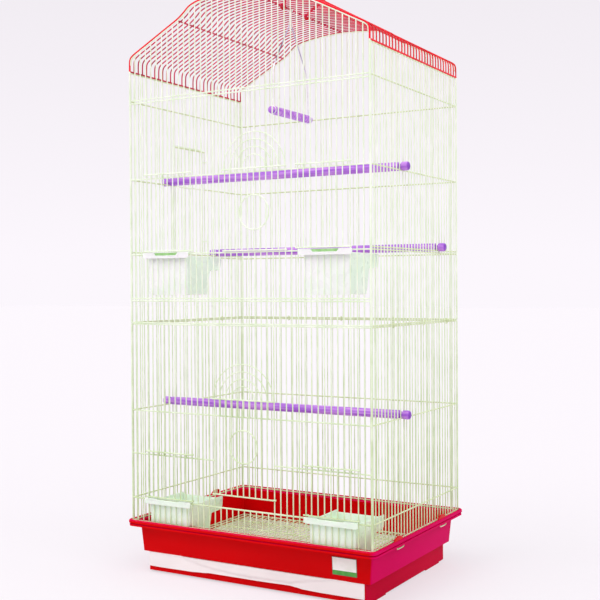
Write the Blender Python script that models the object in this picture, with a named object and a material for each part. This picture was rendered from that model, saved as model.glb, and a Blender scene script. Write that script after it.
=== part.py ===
# Tall wire bird cage on a red plastic base, as separate named pieces.
# Metres, +Z up, front of the cage towards -Y, origin under the middle of the base.
import bpy, bmesh, math
from mathutils import Matrix, Vector

for ob in list(bpy.data.objects):
    bpy.data.objects.remove(ob, do_unlink=True)

MM = 0.001
GAP = 0.3                 # clearance between neighbouring pieces
PITCH = 11.5              # wire pitch on the real cage
BODY_W = 40 * PITCH       # wire body, width over the corner wire centres
BODY_D = 30 * PITCH       # wire body, depth
BAR = 2.4                 # wire width of the panels as modelled here
HB = BAR / 2
LIFT = 130.0              # height of the lower cup rail above the floor

# spaces between the rails, and how far the doors stand over them
BOTTOM_DROP = 39.7
HATCH_SPACE = 76.7
LOW_SPACE = 151.0
SPLIT_SPACE = 148.4
SPLIT_PAIR = 2.7
PAIR_SPACE = 39.25
CUP_SPACE = 77.05
UP_SPACE = 128.7
NEST_SPACE = 70.9
SIDE_SPACE = 183.9
TOP_DROP = 49.1
FRONT_TOP_DROP = 50.7
EAVE_RISE = 2.7
ROOF_RISE = 110.3
LOW_DOOR_FOOT = 22.0      # the lower door is photographed raised by this
LOW_DOOR_OVER = 28.0
UP_DOOR_OVER = 5.9
CIRCLE_DROP_LOW = 76.0
CIRCLE_DROP_UP = 71.0
HATCH_OVER_LOW = 5.8
HATCH_OVER_UP = 6.4
NEST_FOOT = 8.6
NEST_HEAD = 3.0
SWING_DROP = 183.0


def height(*steps):
    return round(math.fsum(steps), 6)


# rail heights over the lower cup rail
LOW_RAIL = LOW_SPACE
SPLIT_LOW = height(LOW_RAIL, SPLIT_SPACE)
SPLIT_HIGH = height(SPLIT_LOW, SPLIT_PAIR)
PAIR_RAIL = height(SPLIT_HIGH, PAIR_SPACE)
UP_CUP_RAIL = height(PAIR_RAIL, CUP_SPACE)
UP_RAIL = height(UP_CUP_RAIL, UP_SPACE)
NEST_RAIL = height(UP_RAIL, NEST_SPACE)
SIDE_TOP_RAIL = height(UP_RAIL, SIDE_SPACE)
TOP_RAIL = height(SIDE_TOP_RAIL, -TOP_DROP)
FRONT_TOP_RAIL = height(SIDE_TOP_RAIL, -FRONT_TOP_DROP)
EAVE = height(SIDE_TOP_RAIL, EAVE_RISE)
RIDGE = height(EAVE, ROOF_RISE)
DOOR_TOP_LOW = height(LOW_RAIL, LOW_DOOR_OVER)
DOOR_TOP_UP = height(UP_RAIL, UP_DOOR_OVER)
HATCH_TOP_LOW = height(HATCH_SPACE, HATCH_OVER_LOW)
HATCH_TOP_UP = height(UP_RAIL, HATCH_OVER_UP)

# and over the floor
Z_BOTTOM = LIFT - BOTTOM_DROP
Z_CUP_LOW = LIFT
Z_HATCH_LOW = LIFT + HATCH_SPACE
Z_LOW = LIFT + LOW_RAIL
Z_SPLIT_A = LIFT + SPLIT_LOW
Z_SPLIT_B = LIFT + SPLIT_HIGH
Z_PAIR = LIFT + PAIR_RAIL
Z_CUP_UP = LIFT + UP_CUP_RAIL
Z_UP = LIFT + UP_RAIL
Z_NEST = LIFT + NEST_RAIL
Z_FRONT_TOP = LIFT + FRONT_TOP_RAIL
Z_TOP = LIFT + TOP_RAIL
Z_SIDE_TOP = LIFT + SIDE_TOP_RAIL
Z_EAVE = LIFT + EAVE

# wire numbers (in pitches from the left or the front) kept in each panel
FRONT_LOW = [0, 3, 6, 8, 11, 13, 15, 18, 20, 22, 25, 28, 30, 33, 35, 38, 40]
FRONT_UP = [0, 3, 6, 8, 11, 14, 17, 20, 22, 24, 27, 29, 32, 34, 37, 40]
BACK = [0, 2, 5, 8, 11, 14, 17, 20, 23, 26, 29, 32, 35, 38, 40]
SIDE = [0, 3, 6, 9, 12, 15, 18, 21, 24, 27, 30]
SIDE_NEST = [0, 3, 6, 8, 11, 13, 15, 17, 19, 22, 24, 27, 30]

# door openings, in wire numbers; a cup also has how far its middle lies from its opening's
LOWER_DOOR = (15, 25)
UPPER_DOOR = (17, 27)
CUPS = {"lower_left": (3, 11, -3.5), "lower_right": (30, 38, -0.5),
        "upper_left": (3, 11, -3.5), "upper_right": (29, 37, 3.5)}
NEST = (11, 19)
STILES = [[0, 3], [11, 14, 17], [27, 29], [37, 40]]   # front wires left standing between the upper openings
NEST_DOOR_LOW = LIFT + height(UP_CUP_RAIL, NEST_FOOT)
NEST_DOOR_TOP = LIFT + height(NEST_RAIL, NEST_HEAD)
NEST_EYE = 2.1            # inner radius of the eyes round the hinge wire

# roof section from the left eave to the ridge, as x and height over the lower cup rail
ROOF_HALF = [(x, height(EAVE, rise)) for x, rise in ((0, -HB), (0, 17.8), (2.6, 23.9), (7.2, 27.1), (104, 77.1), (117, 86.8), (125, 94.7),
                                                    (139, 100.3), (162, 105.1), (192, 108.5), (BODY_W / 2, ROOF_RISE))]

# base, measured outwards (+) or inwards (-) from the wire body's outline
RIM_OUT = (8.5, 9.5)      # rim overhang to the sides and to the front and back
RIM_TOP_DROP = 38.0       # below the lower cup rail
RIM_LOW_DROP = 48.5
WALL_DROP = 94.5
RIM_TOP = LIFT - RIM_TOP_DROP
SEAT_OUT = 3.0
SEAT_Z = Z_BOTTOM - HB - GAP
RIM_LOW = LIFT - RIM_LOW_DROP
RIM_R = 12.0
WALL_TOP_IN = (5.4, 11.5)
WALL_LOW_IN = (10.0, 14.5)
WALL_LOW = LIFT - WALL_DROP
WALL_T = 2.6
FLOOR_TOP = WALL_LOW + 2.6
PLINTH_IN = (20.0, 17.8)
PLINTH_T = 2.6
PLINTH_LOW = 6.0
TRAY_FLOOR = 14.5
SKIN = 2.6                # thickness of the plinth floor
SLOT_TOP = WALL_LOW - 0.3

TAB_Y = (82.0, 258.0)     # middles of the half round tabs on the side rims
TAB_HALF = 19.0
TAB_RISE = 6.8
CLIP_OUT = 2.6            # wire clips under the rim, out from the wire body
CLIP_HALF = 15.0
CLIP_DROP = 6.0
CLIP_SHIFT = 13.0

DRAWER_GAP = 0.4
DRAWER_TOP = SLOT_TOP - 0.9
DRAWER_WALL = 2.0

PERCH_R = 7.2
PERCH_NECK = 4.2
PERCHES = {"perch_top": (9.5, Z_UP), "perch_middle": (22.5, Z_CUP_UP + 4.1), "perch_low": (9.5, Z_LOW)}

CUP_W = 82.0
CUP_H = 69.0
CUP_D = 56.0
CUP_LEAN = 9.5            # how far the back wall leans out up to the wings
CUP_LIP_W = 95.0
CUP_BACK = 100.0
CUP_WALL = 1.8
CUP_RIM = 4.0             # the side walls' top, below the rail
CUP_WING = 28.5           # the wings' underside, below the rail
CUP_STEP = 38.6
CUP_STEP_Y = 18.6

SWING_Y = 13.5 * PITCH    # between two roof wires
SWING_HALF = 68.0
SWING_LOW = LIFT + height(RIDGE, -SWING_DROP)
SWING_FOOT = 61.0         # the frame's rings from its middle
HANDLE_HALF = 41.5
HANDLE_LEAN = 27.0
RIDGE_Z = LIFT + RIDGE


def material(name, colour, roughness=0.4, metallic=0.0):
    mat = bpy.data.materials.get(name)
    if mat:
        return mat
    mat = bpy.data.materials.new(name)
    mat.use_nodes = True
    node = mat.node_tree.nodes["Principled BSDF"]
    node.inputs["Base Color"].default_value = (*colour, 1.0)
    node.inputs["Roughness"].default_value = roughness
    node.inputs["Metallic"].default_value = metallic
    mat.diffuse_color = (*colour, 1.0)
    return mat


WIRE = material("cage_wire", (0.80, 0.84, 0.62))
ROOF_RED = material("roof_wire", (0.78, 0.02, 0.04))
RED = material("red_plastic", (0.72, 0.01, 0.02))
WHITE = material("white_plastic", (0.88, 0.88, 0.88))
MINT = material("mint_plastic", (0.78, 0.92, 0.84))
PURPLE = material("purple_plastic", (0.42, 0.16, 0.66))
LABEL = material("label_film", (0.9, 0.92, 0.9))
DARK = material("swing_wire", (0.30, 0.26, 0.32))


def place(p):
    return Vector(((p[0] - BODY_W / 2) * MM, (p[1] - BODY_D / 2) * MM, p[2] * MM))


def finish(name, bm, mat, origin=None, smooth=None):
    bmesh.ops.remove_doubles(bm, verts=bm.verts, dist=1e-7)
    bmesh.ops.recalc_face_normals(bm, faces=bm.faces)
    bmesh.ops.triangulate(bm, faces=bm.faces)
    if smooth:
        for f in bm.faces:
            f.smooth = True
    if origin is not None:
        bmesh.ops.translate(bm, verts=bm.verts, vec=-origin)
    mesh = bpy.data.meshes.new(name)
    bm.to_mesh(mesh)
    bm.free()
    mesh.materials.append(mat)
    ob = bpy.data.objects.new(name, mesh)
    if origin is not None:
        ob.location = origin
    bpy.context.scene.collection.objects.link(ob)
    if smooth:
        for edge in mesh.edges:
            edge.use_edge_sharp = False
        mesh.set_sharp_from_angle(angle=math.radians(smooth))
    return ob


def sheet(polys, surface, bm=None):
    """Closed plate from flat polygons that share corners; surface(p, side) puts a corner on one of its two faces."""
    bm = bm or bmesh.new()
    keys, edges = {}, {}

    def corner(p, side):
        k = (round(p[0], 4), round(p[1], 4), side)
        if k not in keys:
            keys[k] = bm.verts.new(surface(p, side))
        return keys[k]

    for poly in polys:
        area = sum(a[0] * b[1] - b[0] * a[1] for a, b in zip(poly, poly[1:] + poly[:1]))
        if area < 0:
            poly = poly[::-1]
        bm.faces.new([corner(p, 0) for p in poly])
        bm.faces.new([corner(p, 1) for p in reversed(poly)])
        for a, b in zip(poly, poly[1:] + poly[:1]):
            ka, kb = (round(a[0], 4), round(a[1], 4)), (round(b[0], 4), round(b[1], 4))
            if (kb, ka) in edges:
                del edges[(kb, ka)]
            else:
                edges[(ka, kb)] = (a, b)
    for a, b in edges.values():
        bm.faces.new([corner(b, 0), corner(a, 0), corner(a, 1), corner(b, 1)])
    return bm


def offset_line(pts, d):
    """Polyline moved sideways by d, to the left of its direction, with mitred corners."""
    out = []
    for i, p in enumerate(pts):
        normals = []
        for a, b in ((i - 1, i), (i, i + 1)):
            if a < 0 or b >= len(pts):
                continue
            dx, dz = pts[b][0] - pts[a][0], pts[b][1] - pts[a][1]
            length = math.hypot(dx, dz)
            normals.append((-dz / length, dx / length))
        nx = sum(n[0] for n in normals) / len(normals)
        nz = sum(n[1] for n in normals) / len(normals)
        s = nx * nx + nz * nz
        out.append((p[0] + d * nx / s, p[1] + d * nz / s))
    return out


def roof_line():
    left = [(x, z + LIFT) for x, z in ROOF_HALF]
    return left + [(BODY_W - x, z) for x, z in left[-2::-1]]


def grid_polys(wires, rails, removed, lo, hi):
    """Flat lattice: wires is a list of positions, rails of (height, half height, from, to)."""
    polys = []
    ends = sorted({round(w + s * HB, 4) for w in wires for s in (-1, 1)})
    for z, h, a, b in rails:
        marks = [e for e in ends if a - HB - 0.01 <= e <= b + HB + 0.01]
        for e0, e1 in zip(marks, marks[1:]):
            polys.append([(e0, z - h), (e1, z - h), (e1, z + h), (e0, z + h)])
    for w in wires:
        mine = [r for r in sorted(rails) if r[2] - 0.01 <= w <= r[3] + 0.01]
        for r0, r1 in zip(mine, mine[1:]):
            mid = (r0[0] + r1[0]) / 2
            if any(x0 + 0.1 < w < x1 - 0.1 and z0 < mid < z1 for x0, x1, z0, z1 in removed):
                continue
            polys.append([(w - HB, r0[0] + r0[1]), (w + HB, r0[0] + r0[1]), (w + HB, r1[0] - r1[1]), (w - HB, r1[0] - r1[1])])
    return polys


def gable_polys(wires, z_from):
    """Wires from the top rail up to the roof line, with the rail that follows the roof line."""
    centre = roof_line()
    top = offset_line(centre, -1.2 - GAP)
    low = offset_line(centre, -1.2 - GAP - BAR)
    z_low, z_high = Z_SIDE_TOP - HB, Z_SIDE_TOP + HB
    top[0], low[0] = (top[0][0], z_high), (low[0][0], z_high)
    top[-1], low[-1] = (top[-1][0], z_high), (low[-1][0], z_high)
    marks = [(i, 0.0) for i in range(len(low))]
    for w in wires[1:-1]:
        for x in (w - HB, w + HB):
            for i, (a, b) in enumerate(zip(low, low[1:])):
                if a[0] < x < b[0]:
                    marks.append((i, (x - a[0]) / (b[0] - a[0])))
    marks = sorted(set((i, round(f, 6)) for i, f in marks))

    def at(line, m):
        i, f = m
        if f == 0:
            return line[i]
        return tuple(line[i][k] + f * (line[i + 1][k] - line[i][k]) for k in (0, 1))

    polys = [[at(low, a), at(low, b), at(top, b), at(top, a)] for a, b in zip(marks, marks[1:])]
    line = [at(low, m) for m in marks]
    for w in wires[1:-1]:
        crown = [p for p in line if w - HB - 0.001 <= p[0] <= w + HB + 0.001]
        polys.append([(w - HB, z_from), (w + HB, z_from)] + crown[::-1])
    for end, s in ((0.0, 1), (BODY_W, -1)):
        a, b = end - s * HB, end + s * HB
        inner, outer = (low[0][0], top[0][0]) if s > 0 else (low[-1][0], top[-1][0])
        polys.append([(a, z_from), (b, z_from), (b, z_low), (a, z_low)])
        polys.append([(a, z_low), (b, z_low), (b, z_high), (a, z_high)])
        polys.append([(b, z_low), (inner, z_low), (inner, z_high), (outer, z_high), (b, z_high)])
    return polys


def front_face(y):
    return lambda p, side: place((p[0], y + (HB if side else -HB), p[1]))


def side_face(x):
    return lambda p, side: place((x + (HB if side else -HB), p[0], p[1]))


def panel(name, polys, surface):
    return finish(name, sheet(polys, surface), WIRE)


def numbers(indices):
    return [i * PITCH for i in indices]


def span(cells):
    return cells[0] * PITCH, cells[1] * PITCH


# front and back panels run the full width; side panels stand between them
W0, W1 = 0.0, BODY_W
low_a, low_b = span(LOWER_DOOR)
up_a, up_b = span(UPPER_DOOR)
cup_spans = {k: span(v[:2]) for k, v in CUPS.items()}

rails = [(Z_BOTTOM, HB, W0, W1), (Z_CUP_LOW, HB, W0, W1), (Z_HATCH_LOW, HB, W0, low_a),
         (Z_HATCH_LOW, HB, low_b, W1), (Z_LOW, HB, W0, W1), (Z_SPLIT_A, HB, W0, W1)]
removed = [(low_a, low_b, Z_CUP_LOW, Z_LOW),
           (*cup_spans["lower_left"], Z_CUP_LOW, Z_HATCH_LOW),
           (*cup_spans["lower_right"], Z_CUP_LOW, Z_HATCH_LOW)]
panel("lower_front_panel", grid_polys(numbers(FRONT_LOW), rails, removed, W0, W1), front_face(0))

PAIR_H = 2.15 + HB
# upper front: the grid under the doors, the stiles between the openings and the gable above them;
# the rail over the doors is shared by the stiles (its lower half) and the gable (its upper half)
rails = [(Z_SPLIT_B, HB, W0, W1), (Z_PAIR, PAIR_H, W0, W1), (Z_CUP_UP, HB, W0, W1)]
panel("upper_front_sill", grid_polys(numbers(FRONT_UP), rails, [], W0, W1), front_face(0))

HALF_RAIL = (HB - GAP / 2) / 2
SHARE = HB - HALF_RAIL
for name, wires in zip("abcd", STILES):
    ws = numbers(wires)
    z = Z_UP - SHARE
    polys = grid_polys(ws, [(z, HALF_RAIL, ws[0], ws[-1])], [], ws[0], ws[-1])
    foot = Z_CUP_UP + HB + GAP
    polys += [[(w - HB, foot), (w + HB, foot), (w + HB, z - HALF_RAIL), (w - HB, z - HALF_RAIL)] for w in ws]
    panel("upper_front_stile_" + name, polys, front_face(0))

rails = [(Z_UP + SHARE, HALF_RAIL, W0, W1), (Z_FRONT_TOP, 2.7 + HB, W0, W1)]
polys = grid_polys(numbers(FRONT_UP), rails, [], W0, W1)
polys += gable_polys(numbers(FRONT_UP), Z_FRONT_TOP + 2.7 + HB)
panel("upper_front_gable", polys, front_face(0))

rails = [(z, HB, W0, W1) for z in (Z_BOTTOM, Z_CUP_LOW, Z_LOW, Z_SPLIT_A)]
panel("lower_back_panel", grid_polys(numbers(BACK), rails, [], W0, W1), front_face(BODY_D))
rails = [(z, HB, W0, W1) for z in (Z_SPLIT_B, Z_CUP_UP, Z_UP, Z_TOP)]
polys = grid_polys(numbers(BACK), rails, [], W0, W1) + gable_polys(numbers(BACK), Z_TOP + HB)
panel("upper_back_panel", polys, front_face(BODY_D))


def side_wires(indices):
    """Side panel wires: the end ones move in so that the panel fits between front and back."""
    inset = 2 * HB + GAP
    ys = numbers(indices)
    ys[0], ys[-1] = inset, BODY_D - inset
    return ys


for side, x in (("left", 0.0), ("right", BODY_W)):
    ys = side_wires(SIDE)
    a, b = ys[0], ys[-1]
    rails = [(z, HB, a, b) for z in (Z_BOTTOM, Z_CUP_LOW, Z_LOW, Z_SPLIT_A)]
    panel("lower_%s_panel" % side, grid_polys(ys, rails, [], a, b), side_face(x))
    ys = side_wires(SIDE_NEST if side == "left" else SIDE)
    rails = [(Z_SPLIT_B, HB, a, b), (Z_CUP_UP + 2.05, 2.05 + HB, a, b), (Z_TOP, HB, a, b), (Z_SIDE_TOP, HB, a, b)]
    removed = []
    if side == "left":
        s0, s1 = span(NEST)
        rails += [(Z_UP, HB, a, s0), (Z_UP, HB, s1, b), (Z_NEST, HB, s0, s1)]
        removed = [(s0, s1, Z_CUP_UP + 2.05, Z_NEST)]
    else:
        rails.append((Z_UP, HB, a, b))
    panel("upper_%s_panel" % side, grid_polys(ys, rails, removed, a, b), side_face(x))

# roof: wires along the section, rails along the depth, bent over the roof line
line = roof_line()
length = [0.0]
for a, b in zip(line, line[1:]):
    length.append(length[-1] + math.dist(a, b))
outer = offset_line(line, HB)
inner = offset_line(line, -HB)


def on_line(s, pts):
    for i in range(len(length) - 1):
        if s <= length[i + 1] + 1e-6:
            f = (s - length[i]) / (length[i + 1] - length[i])
            return tuple(pts[i][k] + f * (pts[i + 1][k] - pts[i][k]) for k in (0, 1))
    return pts[-1]


slope_end = length[4] - 3.0
ridge = length[-1] / 2
roof_rails = [HB, slope_end, ridge, length[-1] - slope_end, length[-1] - HB]
marks = sorted({round(v, 4) for v in length} | {round(r + s * HB, 4) for r in roof_rails for s in (-1, 1)})
marks = [m for m in marks if abs(m - ridge) > 0.01]
roof_wires = numbers(SIDE)
polys = []
for w in roof_wires:
    for a, b in zip(marks, marks[1:]):
        polys.append([(a, w - HB), (b, w - HB), (b, w + HB), (a, w + HB)])
for r in roof_rails:
    for w0, w1 in zip(roof_wires, roof_wires[1:]):
        polys.append([(r - HB, w0 + HB), (r + HB, w0 + HB), (r + HB, w1 - HB), (r - HB, w1 - HB)])


def roof_point(p, side):
    x, z = on_line(p[0], outer if side else inner)
    return place((x, p[1], z))


finish("roof_grille", sheet(polys, roof_point), ROOF_RED)


# boxes, prisms, lofts and swept wires
def box(bm, x0, x1, y0, y1, z0, z1):
    vs = [bm.verts.new(place((x, y, z))) for z in (z0, z1) for y in (y0, y1) for x in (x0, x1)]
    for f in ((0, 2, 3, 1), (4, 5, 7, 6), (0, 1, 5, 4), (2, 6, 7, 3), (0, 4, 6, 2), (1, 3, 7, 5)):
        bm.faces.new([vs[i] for i in f])
    return vs


def prism_x(bm, outline, x0, x1):
    """outline is a list of (y, z)."""
    a = [bm.verts.new(place((x0, y, z))) for y, z in outline]
    b = [bm.verts.new(place((x1, y, z))) for y, z in outline]
    bm.faces.new(a)
    bm.faces.new(b[::-1])
    n = len(outline)
    for i in range(n):
        j = (i + 1) % n
        bm.faces.new([a[j], a[i], b[i], b[j]])


def ring(x_in, y_in, z, radius, steps=2):
    """Rounded rectangle, inset from the wire body's outline."""
    x0, x1, y0, y1 = x_in, BODY_W - x_in, y_in, BODY_D - y_in
    pts = []
    for cx, cy, start in ((x1 - radius, y1 - radius, 0), (x0 + radius, y1 - radius, 90),
                          (x0 + radius, y0 + radius, 180), (x1 - radius, y0 + radius, 270)):
        for k in range(steps + 1):
            t = math.radians(start + 90 * k / steps)
            pts.append((cx + radius * math.cos(t), cy + radius * math.sin(t), z))
    return pts


def loft(bm, rings):
    loops = [[bm.verts.new(place(p)) for p in r] for r in rings]
    n = len(loops[0])
    bm.faces.new(loops[0][::-1])
    bm.faces.new(loops[-1])
    for a, b in zip(loops, loops[1:]):
        for i in range(n):
            j = (i + 1) % n
            bm.faces.new([a[i], a[j], b[j], b[i]])


def solid(build):
    bm = bmesh.new()
    build(bm)
    bmesh.ops.recalc_face_normals(bm, faces=bm.faces)
    mesh = bpy.data.meshes.new("tool")
    bm.to_mesh(mesh)
    bm.free()
    ob = bpy.data.objects.new("tool", mesh)
    bpy.context.scene.collection.objects.link(ob)
    return ob


def combine(first, steps):
    """Applies exact Booleans to first and returns its mesh as a bmesh; the tools are removed."""
    for operation, tool in steps:
        mod = first.modifiers.new("step", "BOOLEAN")
        mod.solver = "EXACT"
        mod.operation = operation
        mod.object = tool
        bpy.context.view_layer.update()
        done = bpy.data.meshes.new_from_object(first.evaluated_get(bpy.context.evaluated_depsgraph_get()))
        first.modifiers.clear()
        first.data = done
        bpy.data.objects.remove(tool, do_unlink=True)
    bm = bmesh.new()
    bm.from_mesh(first.data)
    bpy.data.objects.remove(first, do_unlink=True)
    return bm


def tidy(bm):
    bmesh.ops.remove_doubles(bm, verts=bm.verts, dist=2e-6)
    bmesh.ops.dissolve_limit(bm, angle_limit=math.radians(0.5), verts=bm.verts, edges=bm.edges)
    bmesh.ops.triangulate(bm, faces=bm.faces)
    return bm


def sweep(bm, path, radius, sides=6, turn=0.0):
    """Closed round bar along a path of points in millimetres."""
    pts = [place(p) for p in path]
    r = radius * MM
    first = (pts[1] - pts[0]).normalized()
    up = Vector((0, 0, 1)) if abs(first.z) < 0.9 else Vector((0, 1, 0))
    side = first.cross(up).normalized()
    loops = []
    prev = first
    for i, p in enumerate(pts):
        if i == 0:
            d = first
        elif i == len(pts) - 1:
            d = (pts[i] - pts[i - 1]).normalized()
        else:
            d = ((pts[i] - pts[i - 1]).normalized() + (pts[i + 1] - pts[i]).normalized()).normalized()
        axis = prev.cross(d)
        if axis.length > 1e-9:
            side = Matrix.Rotation(prev.angle(d), 3, axis.normalized()) @ side
        prev = d
        other = d.cross(side).normalized()
        stretch = 1.0
        if 0 < i < len(pts) - 1:
            half = (pts[i] - pts[i - 1]).angle(pts[i + 1] - pts[i]) / 2
            stretch = 1.0 / max(0.5, math.cos(half))
            bend = (pts[i] - pts[i - 1]).normalized() - (pts[i + 1] - pts[i]).normalized()
            bend = bend.normalized() if bend.length > 1e-9 else None
        else:
            bend = None
        loop = []
        for k in range(sides):
            t = 2 * math.pi * k / sides + turn
            v = side * math.cos(t) * r + other * math.sin(t) * r
            if bend is not None:
                v += bend * v.dot(bend) * (stretch - 1.0)
            loop.append(bm.verts.new(p + v))
        loops.append(loop)
    bm.faces.new(loops[0][::-1])
    bm.faces.new(loops[-1])
    for a, b in zip(loops, loops[1:]):
        for k in range(sides):
            j = (k + 1) % sides
            bm.faces.new([a[k], a[j], b[j], b[k]])


def turned(bm, start, axis, profile, sides=16):
    """Closed turned piece; profile is a list of (distance along the axis, radius)."""
    u = Vector((0, 0, 1)) if abs(axis.z) < 0.9 else Vector((1, 0, 0))
    v = axis.cross(u)
    base = place(start)
    loops = []
    for d, r in profile:
        loops.append([bm.verts.new(base + axis * d * MM + (u * math.cos(2 * math.pi * k / sides) + v * math.sin(2 * math.pi * k / sides)) * r * MM)
                      for k in range(sides)])
    bm.faces.new(loops[0][::-1])
    bm.faces.new(loops[-1])
    for a, b in zip(loops, loops[1:]):
        for k in range(sides):
            j = (k + 1) % sides
            bm.faces.new([a[k], a[j], b[j], b[k]])


def annulus(bm, centre, radius_in, radius_out, half, normal, sides=16, arc=None):
    """Flat ring or half ring of square section; normal is 'x', 'y' or 'z'."""
    full = arc is None
    t0, t1 = (0.0, 360.0) if full else arc
    count = sides if full else sides + 1
    loops = []
    for k in range(count):
        t = math.radians(t0 + (t1 - t0) * k / sides)
        c, s = math.cos(t), math.sin(t)
        loop = []
        for r, h in ((radius_in, -half), (radius_out, -half), (radius_out, half), (radius_in, half)):
            if normal == "y":
                p = (centre[0] + r * c, centre[1] + h, centre[2] + r * s)
            elif normal == "x":
                p = (centre[0] + h, centre[1] + r * c, centre[2] + r * s)
            else:
                p = (centre[0] + r * c, centre[1] + r * s, centre[2] + h)
            loop.append(bm.verts.new(place(p)))
        loops.append(loop)
    pairs = list(zip(loops, loops[1:])) + ([(loops[-1], loops[0])] if full else [])
    for a, b in pairs:
        for i in range(4):
            j = (i + 1) % 4
            bm.faces.new([a[i], a[j], b[j], b[i]])
    if not full:
        bm.faces.new(loops[0][::-1])
        bm.faces.new(loops[-1])


# sliding doors: a lattice in front of the panel, with hooks round the guide wires
DOOR_Y0, DOOR_Y1 = -HB - GAP - BAR, -HB - GAP
HOOK_IN = 0.5
HOOK_REACH = 1.6


def door_lattice(bm, a, b, z_low, z_high, wires):
    """a and b are the guide wires' positions."""
    rails = [(z_low, HB, a - 4.5 + HB, b + 4.5 - HB), (z_high, HB, a - 4.5 + HB, b + 4.5 - HB)]
    ws = sorted([a - 4.5 + HB, a + HB + HOOK_IN + HB, *wires, b - HB - HOOK_IN - HB, b + 4.5 - HB])
    polys = []
    ends = sorted({round(w + s * HB, 4) for w in ws for s in (-1, 1)})
    for z, h, x0, x1 in rails:
        for e0, e1 in zip(ends, ends[1:]):
            polys.append([(e0, z - h), (e1, z - h), (e1, z + h), (e0, z + h)])
    for w in wires:
        polys.append([(w - HB, z_low + HB), (w + HB, z_low + HB), (w + HB, z_high - HB), (w - HB, z_high - HB)])
    sheet(polys, lambda p, side: place((p[0], DOOR_Y1 if side else DOOR_Y0, p[1])), bm)


def sliding_door(name, a, b, z_low, z_high, wires, circle=None, arcs=None):
    base = solid(lambda bm: door_lattice(bm, a, b, z_low, z_high, wires))
    steps = []
    for z in (z_low, z_high):
        for guide, s in ((a, 1), (b, -1)):
            u0 = guide + s * (HB + HOOK_IN)
            u1 = u0 + s * BAR
            far = guide - s * HOOK_REACH

            def build(bm, z=z, u0=u0, u1=u1, far=far):
                back = HB + GAP
                outline = [(u0, DOOR_Y1 - 0.6), (u1, DOOR_Y1 - 0.6), (u1, back + 2.0), (far, back + 2.0), (far, back), (u0, back)]
                lows = [bm.verts.new(place((x, y, z - HB))) for x, y in outline]
                tops = [bm.verts.new(place((x, y, z + HB))) for x, y in outline]
                bm.faces.new(lows)
                bm.faces.new(tops[::-1])
                for i in range(6):
                    j = (i + 1) % 6
                    bm.faces.new([lows[j], lows[i], tops[i], tops[j]])

            steps.append(("UNION", solid(build)))
    mid_y = (DOOR_Y0 + DOOR_Y1) / 2
    if circle:
        cx, cz, r = circle
        steps.append(("UNION", solid(lambda bm: annulus(bm, (cx, mid_y, cz), r - HB, r + HB, HB * 0.9, "y", 20))))
    for cx, cz, r, n in arcs or []:
        steps.append(("UNION", solid(lambda bm, cx=cx, cz=cz, r=r, n=n: annulus(bm, (cx, mid_y, cz), r - HB, r + HB, HB * 0.95, "y", n, (0, 180)))))
    bm = tidy(combine(base, steps))
    origin = place(((a + b) / 2, 0.0, z_low))
    return finish(name, bm, WIRE, origin=origin)


def door_arcs(cx, cz):
    # the arcs over a door stand on its top bar, about a wire apart
    return [(cx, cz, k * PITCH + more, n) for k, more, n in ((5, 0.5, 10), (4, 0.0, 8), (3, -0.5, 6), (2, -1.0, 6))]


mid = (low_a + low_b) / 2
door_wires = [mid + k * 2 * PITCH for k in (-2, -1, 0, 1, 2)]
sliding_door("lower_door", low_a, low_b, LIFT + LOW_DOOR_FOOT, LIFT + DOOR_TOP_LOW, door_wires,
             circle=(mid, LIFT + height(DOOR_TOP_LOW, -CIRCLE_DROP_LOW), 27.0), arcs=door_arcs(mid, LIFT + DOOR_TOP_LOW))
mid = (up_a + up_b) / 2
door_wires = [mid + k * 2 * PITCH for k in (-2, -1, 0, 1, 2)]
sliding_door("upper_door", up_a, up_b, Z_CUP_UP + 2 * HB + GAP, LIFT + DOOR_TOP_UP, door_wires,
             circle=(mid, LIFT + height(DOOR_TOP_UP, -CIRCLE_DROP_UP), 28.0), arcs=door_arcs(mid, LIFT + DOOR_TOP_UP))

for key, (i0, i1, _) in CUPS.items():
    a, b = i0 * PITCH, i1 * PITCH
    rail, top = (Z_CUP_LOW, LIFT + HATCH_TOP_LOW) if key.startswith("lower") else (Z_CUP_UP, LIFT + HATCH_TOP_UP)
    mid = (a + b) / 2
    sliding_door("hatch_" + key, a, b, rail + 3.6 + HB, top, [mid - 2 * PITCH, mid, mid + 2 * PITCH])

# nest box door on the left side, hinged on the panel wire at its rear edge
s0, s1 = span(NEST)
ys = [s0 - 2.8, s0 + 2 * PITCH, s0 + 4 * PITCH, s0 + 6 * PITCH, s1 - 3.9]
rails = [(z, HB, ys[0], ys[-1]) for z in (NEST_DOOR_LOW, Z_UP, NEST_DOOR_TOP)]
base = solid(lambda bm: sheet(grid_polys(ys, rails, [], ys[0], ys[-1]),
             lambda p, side: place((DOOR_Y1 if side else DOOR_Y0, p[0], p[1])), bm))
steps = []
for z in (NEST_DOOR_LOW + 22.0, NEST_DOOR_TOP - 22.0):
    steps.append(("UNION", solid(lambda bm, z=z: annulus(bm, (0.0, s1, z), NEST_EYE, NEST_EYE + 2.0, HB, "z", 12))))
bm = tidy(combine(base, steps))
finish("nest_door", bm, WIRE, origin=place((0.0, s1, NEST_DOOR_LOW)))


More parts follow.
